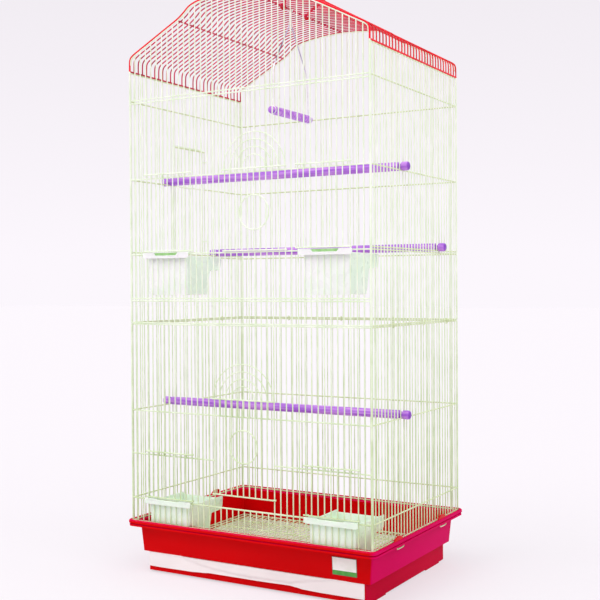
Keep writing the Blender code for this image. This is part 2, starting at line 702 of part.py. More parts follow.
# seed cups hanging on the cup rails
def feeder(key):
    i0, i1, aside = CUPS[key]
    cx = (i0 + i1) / 2 * PITCH + aside
    rail = Z_CUP_LOW if key.startswith("lower") else Z_CUP_UP
    y0 = HB + GAP
    x0, x1 = cx - CUP_W / 2, cx + CUP_W / 2
    low = rail - CUP_H
    w = CUP_WALL
    # the lower cups step back under the cage so that they clear the ledge and the tub wall
    step = rail == Z_CUP_LOW
    foot = [(y0, rail - CUP_STEP), (CUP_STEP_Y, rail - CUP_STEP - 3), (CUP_STEP_Y, low)] if step else [(y0, low)]
    pit = [(y0 + w, rail - CUP_STEP + w), (CUP_STEP_Y + w, rail - CUP_STEP - 1.4), (CUP_STEP_Y + w, low + w)] if step else [(y0 + w, low + w)]
    back = y0 + CUP_D
    lean = back + CUP_LEAN
    shell = foot + [(back, low), (lean, rail - CUP_WING), (CUP_BACK - 7, rail - CUP_WING + 1.5), (CUP_BACK, rail - CUP_WING + 7),
             (CUP_BACK, rail - 12), (CUP_BACK - 6, rail - CUP_RIM - 1.5), (y0 + w + 0.6, rail - CUP_RIM), (y0 + w + 0.6, rail + 3.3), (y0, rail + 3.3)]
    inner = pit + [(back - w, low + w), (lean - w, rail - CUP_WING + w), (CUP_BACK - 8, rail - CUP_WING + 1.5 + w),
             (CUP_BACK - w, rail - CUP_WING + 8), (CUP_BACK - w, rail + 20), (y0 + w, rail + 20)]
    body = solid(lambda bm: prism_x(bm, shell, x0, x1))
    hollow = solid(lambda bm: prism_x(bm, inner, x0 + w, x1 - w))
    lip = solid(lambda bm: box(bm, x0 + 1.0, x1 - 1.0, -4.8, y0 + 1.0, rail + HB + GAP, rail + 3.3))
    a0, a1 = cx - CUP_LIP_W / 2, cx + CUP_LIP_W / 2
    flange = solid(lambda bm: box(bm, a0, a1, -5.4, -3.6, rail - 7.2, rail + 3.3))
    bm = tidy(combine(body, [("DIFFERENCE", hollow), ("UNION", lip), ("UNION", flange)]))
    return finish("cup_" + key, bm, MINT)


for key in CUPS:
    feeder(key)

# perches: the waist at each end sits on a side rail between two wires, the cap stays outside
for name, (number, rail) in PERCHES.items():
    y = number * PITCH
    z = rail + HB + GAP + PERCH_NECK
    inner = BODY_W / 2 - HB - GAP - 0.2
    outer_ = BODY_W / 2 + HB + GAP + 0.2
    half = [(inner - 1.0, PERCH_R), (inner, PERCH_NECK), (outer_, PERCH_NECK), (outer_ + 1.0, PERCH_R),
            (BODY_W / 2 + 12.5, PERCH_R), (BODY_W / 2 + 15.0, PERCH_R - 2.2)]
    profile = [(BODY_W / 2 - d, r) for d, r in reversed(half)] + [(BODY_W / 2 + d, r) for d, r in half]
    bm = bmesh.new()
    turned(bm, (0, y, z), Vector((1, 0, 0)), profile, 14)
    finish(name, bm, PURPLE, smooth=40)

# swing: hook on the ridge rail, wire frame, perch
RAIL_IN = 2.6
hook_z = RIDGE_Z
mid_x = BODY_W / 2


def hook_body(bm):
    annulus(bm, (mid_x, SWING_Y, hook_z), RAIL_IN, 5.6, 2.0, "y", 12)


low_hole = RIDGE_Z - 28.0
base = solid(hook_body)
stem = solid(lambda bm: box(bm, mid_x - 2.2, mid_x + 2.2, SWING_Y - 2.0, SWING_Y + 2.0, low_hole + 3.6, hook_z - 4.2))
eye = solid(lambda bm: annulus(bm, (mid_x, SWING_Y, low_hole), 2.2, 4.8, 1.9, "y", 12))
bm = tidy(combine(base, [("UNION", stem), ("UNION", eye)]))
pivot = place((mid_x, SWING_Y, RIDGE_Z))
finish("swing_hook", bm, WHITE, origin=pivot)

SW_R = 1.1
foot_z = SWING_LOW
FOOT_IN, FOOT_OUT, NECK_R = 5.4, 7.4, 5.0
leg = [(SWING_FOOT, foot_z + 6.6), (57.0, foot_z + 74.0), (45.0, foot_z + 94.0), (9.0, low_hole - 8.6), (5.0, low_hole - 0.8)]
path = [(mid_x, SWING_Y - y, z) for y, z in leg] + [(mid_x, SWING_Y + y, z) for y, z in reversed(leg)]
base = solid(lambda bm: sweep(bm, path, SW_R, 6))
steps = []
for s in (-1, 1):
    steps.append(("UNION", solid(lambda bm, s=s: annulus(bm, (mid_x, SWING_Y + s * SWING_FOOT, foot_z), FOOT_IN, FOOT_OUT, SW_R, "y", 12))))
bm = tidy(combine(base, steps))
finish("swing_frame", bm, DARK, origin=pivot)
bm = bmesh.new()
half = [(SWING_FOOT - SW_R - GAP - 0.8, PERCH_R), (SWING_FOOT - SW_R - GAP, NECK_R), (SWING_FOOT + SW_R + GAP, NECK_R),
        (SWING_FOOT + SW_R + GAP + 0.8, PERCH_R - 0.6),
        (SWING_HALF - 1.6, PERCH_R - 1.2), (SWING_HALF, PERCH_R - 3.4)]
profile = [(-d, r) for d, r in reversed(half)] + half
turned(bm, (mid_x, SWING_Y, foot_z), Vector((0, 1, 0)), profile, 14)
finish("swing_perch", bm, PURPLE, origin=pivot, smooth=40)

# carry handle: a bail whose two eyes ring the ridge rail
lean = math.radians(HANDLE_LEAN)


def bail(y, h):
    return (mid_x + h * math.sin(lean), BODY_D / 2 + y, RIDGE_Z + h * math.cos(lean))


leg = [(HANDLE_HALF, 4.6), (HANDLE_HALF, 9.0), (68.0, 32.0), (74.0, 42.0), (70.0, 51.0), (60.0, 55.0)]
path = [bail(-y, h) for y, h in leg] + [bail(y, h) for y, h in reversed(leg)]
base = solid(lambda bm: sweep(bm, path, 2.3, 8))
steps = []
for s in (-1, 1):
    steps.append(("UNION", solid(lambda bm, s=s: annulus(bm, (mid_x, BODY_D / 2 + s * HANDLE_HALF, RIDGE_Z), RAIL_IN, 5.6, 1.5, "y", 12))))
bm = tidy(combine(base, steps))
finish("carry_handle", bm, RED, origin=place((mid_x, BODY_D / 2, RIDGE_Z)))


# base tub with rim, walls, floor ledge, plinth and feet
def tub():
    def outline(d, z, r):
        return ring(d[0], d[1], z, r)

    rim = (-RIM_OUT[0], -RIM_OUT[1])
    body = solid(lambda bm: loft(bm, [
        outline(PLINTH_IN, PLINTH_LOW, 6), outline(PLINTH_IN, WALL_LOW, 6), outline(WALL_LOW_IN, WALL_LOW, 8),
        outline(WALL_TOP_IN, RIM_LOW, 9), outline(rim, RIM_LOW, RIM_R), outline(rim, RIM_TOP - 1.5, RIM_R),
        outline((rim[0] + 1.2, rim[1] + 1.2), RIM_TOP, RIM_R - 1)]))
    inner_top = (WALL_TOP_IN[0] + WALL_T, WALL_TOP_IN[1] + WALL_T)
    inner_low = (WALL_LOW_IN[0] + WALL_T, WALL_LOW_IN[1] + WALL_T)
    plinth_in = (PLINTH_IN[0] + PLINTH_T, PLINTH_IN[1] + PLINTH_T)
    cavity = solid(lambda bm: loft(bm, [
        outline(plinth_in, TRAY_FLOOR, 0.8), outline(plinth_in, FLOOR_TOP, 0.8), outline(inner_low, FLOOR_TOP, 6),
        outline(inner_top, SEAT_Z, 7), outline((-SEAT_OUT, -SEAT_OUT), SEAT_Z, 5), outline((-SEAT_OUT, -SEAT_OUT), RIM_TOP + 5, 5)]))
    under = solid(lambda bm: loft(bm, [
        outline((PLINTH_IN[0] + 3, PLINTH_IN[1] + 3), PLINTH_LOW - 5, 4), outline((PLINTH_IN[0] + 3, PLINTH_IN[1] + 3), TRAY_FLOOR - SKIN, 4)]))
    slot = solid(lambda bm: box(bm, PLINTH_IN[0] + PLINTH_T + 0.3, BODY_W - PLINTH_IN[0] - PLINTH_T - 0.3,
                                PLINTH_IN[1] - 5, PLINTH_IN[1] + PLINTH_T + 3, TRAY_FLOOR, SLOT_TOP))
    steps = [("DIFFERENCE", cavity), ("DIFFERENCE", under), ("DIFFERENCE", slot)]
    for x0 in (PLINTH_IN[0] + 0.5, BODY_W - PLINTH_IN[0] - 10.5):
        for y0, y1 in ((32.0, 90.0), (250.0, 308.0)):
            steps.append(("UNION", solid(lambda bm, x0=x0, y0=y0, y1=y1: box(bm, x0, x0 + 10, y0, y1, 0.0, PLINTH_LOW + 1.5))))
    for x0, x1 in ((-6.6, -4.2), (BODY_W + 4.2, BODY_W + 6.6)):
        for yc in TAB_Y:
            crown = [(yc + TAB_HALF * math.cos(t), RIM_TOP - 1.5 + TAB_RISE * math.sin(t)) for t in [math.pi * k / 8 for k in range(9)]]
            steps.append(("UNION", solid(lambda bm, x0=x0, x1=x1, crown=crown: prism_x(bm, crown, x0, x1))))
    bm = tidy(combine(body, steps))
    return finish("base_tub", bm, RED, smooth=35)


tub()

# pull-out drawer: a shallow tray under the grille, sliding on the plinth floor
d0 = PLINTH_IN[0] + PLINTH_T + 0.3 + DRAWER_GAP
dy0 = PLINTH_IN[1] - 0.6
dy1 = BODY_D - PLINTH_IN[1] - PLINTH_T - 0.8
base = solid(lambda bm: box(bm, d0, BODY_W - d0, dy0, dy1, TRAY_FLOOR + GAP, DRAWER_TOP))
hollow = solid(lambda bm: box(bm, d0 + DRAWER_WALL, BODY_W - d0 - DRAWER_WALL, dy0 + 3.0, dy1 - DRAWER_WALL, TRAY_FLOOR + GAP + 2.0, DRAWER_TOP + 5))
bm = tidy(combine(base, [("DIFFERENCE", hollow)]))
finish("drawer", bm, WHITE, origin=place((BODY_W / 2, dy0, TRAY_FLOOR)))

# floor grille lying on the ledge inside the tub
gx0, gy0 = WALL_LOW_IN[0] + WALL_T + 2.4 + HB, WALL_LOW_IN[1] + WALL_T + 2.4 + HB
n_x = 12
wires = [gx0 + (BODY_W - 2 * gx0) * k / n_x for k in range(n_x + 1)]
depths = [gy0 + (BODY_D - 2 * gy0) * k / 3 for k in range(4)]
rails = [(y, HB, wires[0], wires[-1]) for y in depths]
grille_z = FLOOR_TOP + GAP + HB
finish("floor_grille", sheet(grid_polys(wires, rails, [], wires[0], wires[-1]),
       lambda p, side: place((p[0], p[1], grille_z + (HB if side else -HB)))), WIRE)

# wire clips that hold the cage on the tub: the loops that show under the rim beside every tab
for side, s in (("left", -1), ("right", 1)):
    for end, yc in zip(("front", "back"), TAB_Y):
        x = BODY_W + CLIP_OUT if s > 0 else -CLIP_OUT
        y, z = yc + CLIP_SHIFT, RIM_LOW - GAP
        path = [(x, y - CLIP_HALF, z), (x, y - CLIP_HALF + 1, z - CLIP_DROP + 2), (x, y - CLIP_HALF + 4, z - CLIP_DROP),
                (x, y + CLIP_HALF - 4, z - CLIP_DROP), (x, y + CLIP_HALF - 1, z - CLIP_DROP + 2), (x, y + CLIP_HALF, z)]
        bm = bmesh.new()
        sweep(bm, path, 1.0, 6)
        finish("base_clip_%s_%s" % (side, end), bm, WIRE)

# plain sticker on the front wall of the tub
slope = (WALL_LOW_IN[1] - WALL_TOP_IN[1]) / (RIM_LOW - WALL_LOW)


def wall_y(z):
    return WALL_TOP_IN[1] + (RIM_LOW - z) * slope


bm = bmesh.new()
zs = (LIFT - 86.0, LIFT - 57.5)
vs = []
for x in (384.0, 427.0):
    for z in zs:
        for d in (0.15, 0.75):
            vs.append(bm.verts.new(place((x, wall_y(z) - d, z))))
for f in ((0, 1, 3, 2), (4, 6, 7, 5), (0, 4, 5, 1), (2, 3, 7, 6), (0, 2, 6, 4), (1, 5, 7, 3)):
    bm.faces.new([vs[i] for i in f])
finish("label_plate", bm, LABEL)
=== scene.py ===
import math

import bmesh
import bpy
from mathutils import Matrix, Vector


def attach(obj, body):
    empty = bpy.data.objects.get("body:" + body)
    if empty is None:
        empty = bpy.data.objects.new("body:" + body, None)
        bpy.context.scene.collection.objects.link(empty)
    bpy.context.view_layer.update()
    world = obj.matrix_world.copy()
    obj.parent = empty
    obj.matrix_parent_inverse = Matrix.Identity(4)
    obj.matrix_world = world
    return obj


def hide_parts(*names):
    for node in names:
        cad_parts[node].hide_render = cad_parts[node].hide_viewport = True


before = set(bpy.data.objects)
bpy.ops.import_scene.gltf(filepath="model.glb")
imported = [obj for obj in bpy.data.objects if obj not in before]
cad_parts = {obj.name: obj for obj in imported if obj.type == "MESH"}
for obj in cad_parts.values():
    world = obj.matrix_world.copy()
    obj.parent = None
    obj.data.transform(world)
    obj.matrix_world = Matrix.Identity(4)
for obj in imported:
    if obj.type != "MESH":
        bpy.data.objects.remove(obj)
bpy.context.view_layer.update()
scene = bpy.context.scene
print("frame loaded:", len(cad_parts), "nodes")

# Sizes are in millimetres: x from the left wires, y from the front wires, z from the lower cup rail.
cage = {"width": 460.0, "depth": 345.0, "lift": 130.0, "pitch": 11.5, "across": 40, "along": 30}
width, depth, pitch = cage["width"], cage["depth"], cage["pitch"]


def at(x, y, z):
    return Vector((x - width / 2, y - depth / 2, z + cage["lift"])) / 1000


def hexColour(text):
    channels = [int(text[i:i + 2], 16) / 255 for i in (1, 3, 5)]
    linear = [c / 12.92 if c <= 0.04045 else ((c + 0.055) / 1.055) ** 2.4 for c in channels]
    return (*linear, 1.0)


# camera, placed where the photograph was taken
view = {"lens": 62.68, "sensor": 36, "place": (0.9284, -1.5850, 0.4932),
        "right": (0.86428, 0.50297, -0.00612), "up": (-0.00145, 0.01465, 0.99989),
        "back": (0.50301, -0.86418, 0.01339)}
camera = bpy.data.objects.new("camera", bpy.data.cameras.new("camera"))
camera.data.sensor_width = view["sensor"]
camera.data.lens = view["lens"]
turn = Matrix((view["right"], view["up"], view["back"])).transposed().to_4x4()
camera.matrix_world = Matrix.Translation(view["place"]) @ turn
scene.collection.objects.link(camera)
scene.camera = camera


# materials; places along an axis are in metres, and a pattern's size is its grain in millimetres
mixFirst, mixSecond, mixResult = 6, 7, 2  # where the Mix node has its colour sockets


def addNode(tree, kind, settings=None, links=None):
    # settings are inputs, by name or number, or else properties of the node
    node = tree.nodes.new("ShaderNode" + kind)
    for key, value in (settings or {}).items():
        if isinstance(key, int) or key in node.inputs:
            node.inputs[key].default_value = value
        else:
            setattr(node, key, value)
    for key, socket in (links or {}).items():
        tree.links.new(socket, node.inputs[key])
    return node


def startMaterial(name, settings):
    mat = bpy.data.materials.new(name)
    mat.use_nodes = True
    tree = mat.node_tree
    shader = tree.nodes["Principled BSDF"]
    for key, value in settings.items():
        shader.inputs[key].default_value = value
    place = addNode(tree, "TexCoord").outputs["Object"]
    return mat, tree, shader, place


def mixColours(tree, place, first, second, size, stretch=(1, 1, 1), low=0.35, high=0.65):
    turned = addNode(tree, "Mapping", {"Scale": stretch}, {"Vector": place}).outputs["Vector"]
    noise = addNode(tree, "TexNoise", {"Scale": 1000 / size, "Detail": 2.0}, {"Vector": turned})
    ramp = addNode(tree, "ValToRGB", {}, {"Fac": noise.outputs["Fac"]})
    ramp.color_ramp.elements[0].position = low
    ramp.color_ramp.elements[0].color = hexColour(first)
    ramp.color_ramp.elements[1].position = high
    ramp.color_ramp.elements[1].color = hexColour(second)
    return ramp.outputs["Color"]


def blend(tree, value, firstTone, secondTone, start=0.0, end=1.0):
    # goes from one tone to another while the value goes from start to end
    span = addNode(tree, "MapRange", {"From Min": start, "From Max": end}, {"Value": value})
    links = {"Factor": span.outputs["Result"], mixFirst: firstTone, mixSecond: secondTone}
    return addNode(tree, "Mix", {"data_type": "RGBA"}, links).outputs[mixResult]


def blendAlong(tree, place, axis, firstTone, secondTone, start, end):
    spot = addNode(tree, "SeparateXYZ", {}, {"Vector": place}).outputs[axis]
    return blend(tree, spot, firstTone, secondTone, start, end)


def giveSurface(tree, shader, place, tone, gloss, relief):
    # gloss is (grain, least and most roughness), relief is (grain, strength, height in millimetres)
    grain, low, high = gloss
    noise = addNode(tree, "TexNoise", {"Scale": 1000 / grain, "Detail": 2.0}, {"Vector": place})
    span = addNode(tree, "MapRange", {"To Min": low, "To Max": high}, {"Value": noise.outputs["Fac"]})
    grain, strength, height = relief
    noise = addNode(tree, "TexNoise", {"Scale": 1000 / grain, "Detail": 3.0}, {"Vector": place})
    settings = {"Strength": strength, "Distance": height / 1000}
    bump = addNode(tree, "Bump", settings, {"Height": noise.outputs["Fac"]})
    tree.links.new(tone, shader.inputs["Base Color"])
    tree.links.new(span.outputs["Result"], shader.inputs["Roughness"])
    tree.links.new(bump.outputs["Normal"], shader.inputs["Normal"])


# Epoxy coated steel wire, cream with a green cast: a soft gloss, a little greener in places, and deeper in
# tone towards the foot of the cage, which is painted shade.
coatedWire, tree, shader, place = startMaterial("coatedWire", {
    "IOR": 1.5, "Coat Weight": 0.2, "Coat Roughness": 0.15})
# the foot tone is painted shade on the lower wires
footTone = mixColours(tree, place, "#E0EECA", "#C6D9A6", size=30)
headTone = mixColours(tree, place, "#F9FFF0", "#EAF8DA", size=30)
tone = blendAlong(tree, place, "Z", footTone, headTone, start=0.15, end=0.55)
giveSurface(tree, shader, place, tone, gloss=(8, 0.32, 0.48), relief=(1.2, 0.1, 0.08))

# A shaded copy of the same coating, darker and more olive, which is painted shade: on the back and side
# rails, the floor grille and the joining hooks.
shadedCoatedWire, tree, shader, place = startMaterial("shadedCoatedWire", {
    "IOR": 1.5, "Coat Weight": 0.2, "Coat Roughness": 0.15})
tone = mixColours(tree, place, "#E2EEC2", "#CEDDA6", size=24)
giveSurface(tree, shader, place, tone, gloss=(8, 0.32, 0.5), relief=(1.4, 0.12, 0.08))

# Epoxy coated steel wire in red: an even gloss, crimson on the roof's left slope and scarlet on its right.
redWire, tree, shader, place = startMaterial("redWire", {"IOR": 1.5, "Specular IOR Level": 0.25})
leftTone = mixColours(tree, place, "#DA0E4C", "#B60A3A", size=20)
rightTone = mixColours(tree, place, "#F00C22", "#CC0818", size=20)
tone = blendAlong(tree, place, "X", leftTone, rightTone, start=0.03, end=0.1)
giveSurface(tree, shader, place, tone, gloss=(8, 0.28, 0.42), relief=(1.2, 0.1, 0.08))

# The same coating on the roof's front edge and right eave, in a brighter, purer red: a lit copy of the red
# wire, which is painted light.
litRedEdge, tree, shader, place = startMaterial("litRedWire", {"IOR": 1.5, "Specular IOR Level": 0.2})
tone = mixColours(tree, place, "#FF1430", "#E80C26", size=20)
giveSurface(tree, shader, place, tone, gloss=(8, 0.28, 0.4), relief=(1.4, 0.1, 0.08))

# Moulded polypropylene in red: smooth and low in gloss, with faint flow marks that lie level. Faces that
# look sideways or up are more crimson than the front, which is a painted sheen, less so on the plinth.
redPlastic, tree, shader, place = startMaterial("redPolypropylene", {
    "IOR": 1.49, "Specular IOR Level": 0.0, "Coat Weight": 0.08, "Coat Roughness": 0.14})
level = (0.3, 0.3, 1.0)
frontTone = mixColours(tree, place, "#DA040A", "#C80206", size=90, stretch=level)
sideTone = mixColours(tree, place, "#DC0262", "#CE0054", size=90, stretch=level)
footTone = mixColours(tree, place, "#D0043A", "#C00230", size=90, stretch=level)
sideTone = blendAlong(tree, place, "Z", footTone, sideTone, start=0.033, end=0.037)
# the crimson share is a painted sheen on outward side faces and faces turned up
normal = tree.nodes["Texture Coordinate"].outputs["Normal"]
facing = addNode(tree, "SeparateXYZ", {}, {"Vector": normal})
spot = addNode(tree, "SeparateXYZ", {}, {"Vector": place})
outward = addNode(tree, "Math", {"operation": "MULTIPLY"},
                  {0: facing.outputs["X"], 1: spot.outputs["X"]}).outputs[0]
outward = addNode(tree, "MapRange", {"From Min": 0.05, "From Max": 0.2}, {"Value": outward})
rising = {"From Min": 0.3, "From Max": 0.95, "To Max": 0.6}
upward = addNode(tree, "MapRange", rising, {"Value": facing.outputs["Z"]})
crimson = addNode(tree, "Math", {"operation": "MAXIMUM"},
                  {0: outward.outputs["Result"], 1: upward.outputs["Result"]}).outputs[0]
tone = blend(tree, crimson, frontTone, sideTone)
giveSurface(tree, shader, place, tone, gloss=(25, 0.26, 0.38), relief=(3.0, 0.12, 0.1))

# The same plastic in the carry handle and the rim tabs: small round forms, a little brighter and glossier.
redHandle, tree, shader, place = startMaterial("redHandlePlastic", {"IOR": 1.49, "Specular IOR Level": 0.1})
tone = mixColours(tree, place, "#E00A10", "#C8040A", size=15)
giveSurface(tree, shader, place, tone, gloss=(10, 0.25, 0.36), relief=(2.0, 0.12, 0.1))

# Moulded white polystyrene: even, slightly warm, with soft scuffs that change the gloss.
whitePlastic, tree, shader, place = startMaterial("whitePolystyrene", {
    "IOR": 1.55, "Coat Weight": 0.1, "Coat Roughness": 0.2})
tone = mixColours(tree, place, "#F9F5F3", "#EEE8E6", size=60, stretch=(0.4, 1.0, 1.0))
giveSurface(tree, shader, place, tone, gloss=(20, 0.3, 0.45), relief=(3.0, 0.1, 0.1))

# Moulded polystyrene with a mint tint: light goes into its walls and softens them. Faces that look sideways
# are greener than the front, which is painted shade, and the lower cups are greener than the upper ones,
# which is painted shade with a painted green reflection from the wires.
mint = {"lower": (("#F0FFF0", "#E4FFE2"), ("#EAFFE4", "#DEFCD8")),
        "upper": (("#FFFFFF", "#F8FFF9"), ("#EEFFEE", "#E4FFE6"))}
mintPlastic, tree, shader, place = startMaterial("mintPolystyrene", {
    "IOR": 1.55, "Subsurface Weight": 0.5, "Subsurface Radius": (0.005, 0.007, 0.005),
    "Subsurface Scale": 1.0})
normal = tree.nodes["Texture Coordinate"].outputs["Normal"]
sideways = addNode(tree, "SeparateXYZ", {}, {"Vector": normal}).outputs["X"]
sideways = addNode(tree, "Math", {"operation": "ABSOLUTE"}, {0: sideways}).outputs[0]
tones = {}
for half, pairs in mint.items():
    frontTone, sideTone = [mixColours(tree, place, *pair, size=60) for pair in pairs]
    tones[half] = blend(tree, sideways, frontTone, sideTone, start=0.3, end=0.9)
# the greener side and lower tones are painted shade
tone = blendAlong(tree, place, "Z", tones["lower"], tones["upper"], start=0.2, end=0.4)
giveSurface(tree, shader, place, tone, gloss=(20, 0.22, 0.34), relief=(4.0, 0.1, 0.1))

# The same plastic in a leaf green: a painted shade of the cup's inside, seen in a flange's notch.
notchShadeMint, tree, shader, place = startMaterial("notchShadeMintPolystyrene", {"IOR": 1.55})
tone = mixColours(tree, place, "#A6D690", "#8EC476", size=10)
giveSurface(tree, shader, place, tone, gloss=(8, 0.3, 0.42), relief=(2.0, 0.1, 0.1))

# Moulded polypropylene in purple: a waxy gloss, with streaks that run along the three perches, and
# darker ends on their caps.
purplePlastic, tree, shader, place = startMaterial("purplePolypropylene", {
    "IOR": 1.49, "Subsurface Weight": 0.08, "Subsurface Radius": (0.002, 0.001, 0.004),
    "Subsurface Scale": 1.0})
streaks = mixColours(tree, place, "#D494F2", "#A658DC", size=5, stretch=(0.06, 1.0, 1.0))
dark = mixColours(tree, place, "#8E3CC8", "#7428AE", size=6)
aside = addNode(tree, "SeparateXYZ", {}, {"Vector": place}).outputs["X"]
aside = addNode(tree, "Math", {"operation": "ABSOLUTE"}, {0: aside}).outputs[0]
tone = blend(tree, aside, streaks, dark, start=0.2424, end=0.2444)
giveSurface(tree, shader, place, tone, gloss=(6, 0.28, 0.42), relief=(2.0, 0.15, 0.1))

# Galvanised steel wire: drawn, then dipped, with a blotchy dull bloom. Its tones are painted reflection:
# bright low down, pale lavender above, and dark at the upper front.
bareWire, tree, shader, place = startMaterial("galvanisedWire", {"Metallic": 1.0})
darkReflection = mixColours(tree, place, "#6A5F74", "#4C4256", size=5)
paleReflection = mixColours(tree, place, "#DCD3EA", "#B4A9C6", size=5)
bright = mixColours(tree, place, "#FBF8FF", "#EFEAF6", size=5)
upper = blendAlong(tree, place, "Y", darkReflection, paleReflection, start=-0.055, end=-0.02)
tone = blendAlong(tree, place, "Z", bright, upper, start=0.868, end=0.884)
giveSurface(tree, shader, place, tone, gloss=(4, 0.22, 0.42), relief=(1.0, 0.2, 0.05))

print("materials ready:", len(bpy.data.materials))


# small building steps
wire = {"upright": 1.0, "rail": 1.15, "corner": 1.5, "sides": 8, "sink": 0.3, "weld": 1.45, "slack": 0.5}


def vertsOf(geom):
    return [g for g in geom if isinstance(g, bmesh.types.BMVert)]


def drawOut(bm, edges):
    # extrudes a closed loop of edges, and returns its new corners and its new loop
    made = bmesh.ops.extrude_edge_only(bm, edges=edges)["geom"]
    verts = vertsOf(made)
    loop = [g for g in made if isinstance(g, bmesh.types.BMEdge) and all(v in verts for v in g.verts)]
    return verts, loop


def markNew(bm, known):
    # the faces that weren't known before get the piece's second material
    for face in bm.faces:
        if face not in known:
            face.material_index = 1


def aimed(point, direction):
    return Matrix.Translation(point) @ direction.to_track_quat("Z", "Y").to_matrix().to_4x4()


def addRod(bm, start, end, radius):
    axis = end - start
    bmesh.ops.create_cone(bm, cap_ends=True, cap_tris=False, segments=wire["sides"], radius1=radius / 1000,
                          radius2=radius / 1000, depth=axis.length, matrix=aimed((start + end) / 2, axis))


def addWeld(bm, point, radius=wire["weld"]):
    # the bead of coating at a spot weld
    bmesh.ops.create_icosphere(bm, subdivisions=1, radius=radius / 1000, matrix=Matrix.Translation(point))


def addBent(bm, points, radius, sides=wire["sides"]):
    # a round bar that is drawn out from a disc, point by point, with one radius or one for each point
    points = [Vector(p) for p in points]
    radii = radius if isinstance(radius, list) else [radius] * len(points)
    heading = (points[1] - points[0]).normalized()
    ring = bmesh.ops.create_circle(bm, cap_ends=True, cap_tris=False, segments=sides,
                                   radius=radii[0] / 1000, matrix=aimed(points[0], heading))["verts"]
    edges = list(ring[0].link_faces[0].edges)
    for i in range(1, len(points)):
        ahead = points[i] - points[i - 1]
        if i < len(points) - 1:
            ahead = ahead.normalized() + (points[i + 1] - points[i]).normalized()
        ahead = ahead.normalized()
        bend = heading.rotation_difference(ahead).to_matrix().to_4x4()
        grow = Matrix.Scale(radii[i] / radii[i - 1], 4)
        verts, edges = drawOut(bm, edges)
        move = Matrix.Translation(points[i]) @ bend @ grow @ Matrix.Translation(-points[i - 1])
        bmesh.ops.transform(bm, matrix=move, verts=verts)
        heading = ahead
    bmesh.ops.holes_fill(bm, edges=edges, sides=0)


def addRing(bm, centre, radius, thick, axis=(0, 1, 0), steps=24, sides=wire["sides"]):
    # a closed ring of round bar, spun round its axis
    axis = Vector(axis)
    out = axis.orthogonal().normalized()
    lie = aimed(centre + out * radius / 1000, axis.cross(out))
    bar = bmesh.ops.create_circle(bm, cap_ends=False, segments=sides, radius=thick / 1000,
                                  matrix=lie)["verts"]
    edges = list({e for v in bar for e in v.link_edges})
    bmesh.ops.spin(bm, geom=bar + edges, cent=centre, axis=axis, angle=2 * math.pi, steps=steps,
                   use_merge=True, use_duplicate=False)


def roundCorners(points, cut, steps=4):
    # replaces each inner corner of a path by a short curve, which takes less than half of either side
    most = 0.45
    points = [Vector(p) for p in points]
    path = [points[0]]
    for before, corner, after in zip(points, points[1:], points[2:]):
        start = corner + (before - corner).normalized() * min(cut, (before - corner).length * most)
        end = corner + (after - corner).normalized() * min(cut, (after - corner).length * most)
        for k in range(steps + 1):
            t = k / steps
            path.append(start * (1 - t) ** 2 + corner * 2 * t * (1 - t) + end * t ** 2)
    return path + [points[-1]]


def addBlock(bm, low, high, edge=0.0, segments=2):
    # a block between two corners, its edges rounded by edge millimetres
    size = Vector(high) - Vector(low)
    centre = (Vector(low) + Vector(high)) / 2
    lie = Matrix.Translation(at(*centre)) @ Matrix.Diagonal((*(size / 1000), 1.0))
    verts = bmesh.ops.create_cube(bm, size=1.0, matrix=lie)["verts"]
    if edge:
        edges = list({e for v in verts for e in v.link_edges})
        bmesh.ops.bevel(bm, geom=edges, offset=edge / 1000, segments=segments, profile=0.5,
                        affect="EDGES", material=-1)


def finishPiece(name, bm, materials, body, stands=(), sharp=50):
    # edges sharper than sharp degrees stay crisp; stands are the CAD nodes that the piece replaces
    bmesh.ops.remove_doubles(bm, verts=bm.verts, dist=1e-6)
    bmesh.ops.recalc_face_normals(bm, faces=bm.faces)
    mesh = bpy.data.meshes.new(name)
    bm.to_mesh(mesh)
    bm.free()
    for material in materials:
        mesh.materials.append(material)
    mesh.shade_smooth()
    mesh.set_sharp_from_angle(angle=math.radians(sharp))
    piece = bpy.data.objects.new(name, mesh)
    scene.collection.objects.link(piece)
    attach(piece, body)
    if stands:
        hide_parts(*stands)
    return piece


def softenEdges(piece, edge, angle=35, segments=2):
    bevel = piece.modifiers.new("bevel", "BEVEL")
    bevel.width = edge / 1000
    bevel.segments = segments
    bevel.limit_method = "ANGLE"
    bevel.angle_limit = math.radians(angle)
    bevel.profile = 0.5


def giveWall(piece, thickness):
    wall = piece.modifiers.new("solidify", "SOLIDIFY")
    wall.thickness = thickness / 1000
    wall.offset = -1.0
    wall.use_even_offset = True


# the wire body's rails, by height
levels = {"bottom": -39.7, "cupRail": 0.0, "hatch": 76.7, "lowRail": 151.0, "splitLow": 299.4,
          "splitHigh": 302.1, "pairLow": 339.2, "pairHigh": 343.5, "upCup": 418.4, "upPair": 422.5,
          "upRail": 547.1, "nest": 618.0, "frontTopLow": 677.6, "frontTopHigh": 683.0, "backTop": 681.9,
          "sideTop": 731.0, "eave": 733.7}

# the roof's left half from eave to ridge, as (x, z), and the bars that make it
roof = {"half": [(0, 732.5), (0, 750.0), (1.6, 756.2), (7.2, 760.8), (55, 785.6), (104, 810.8),
                 (117, 820.5), (125, 828.4), (139, 834.0), (162, 838.8), (192, 842.2), (230, 844.0)],
        "ease": 6.0, "easeSteps": 2, "wire": 1.1, "edge": 1.6, "back": 1.2, "rail": 1.4,
        "railPlace": 101.0, "railDrop": 1.0, "ridgeRail": 843.2, "weld": 1.5, "edgeWeld": 1.6,
        "weldLift": 0.3, "gableGap": 2.4, "gableRail": 2.3}


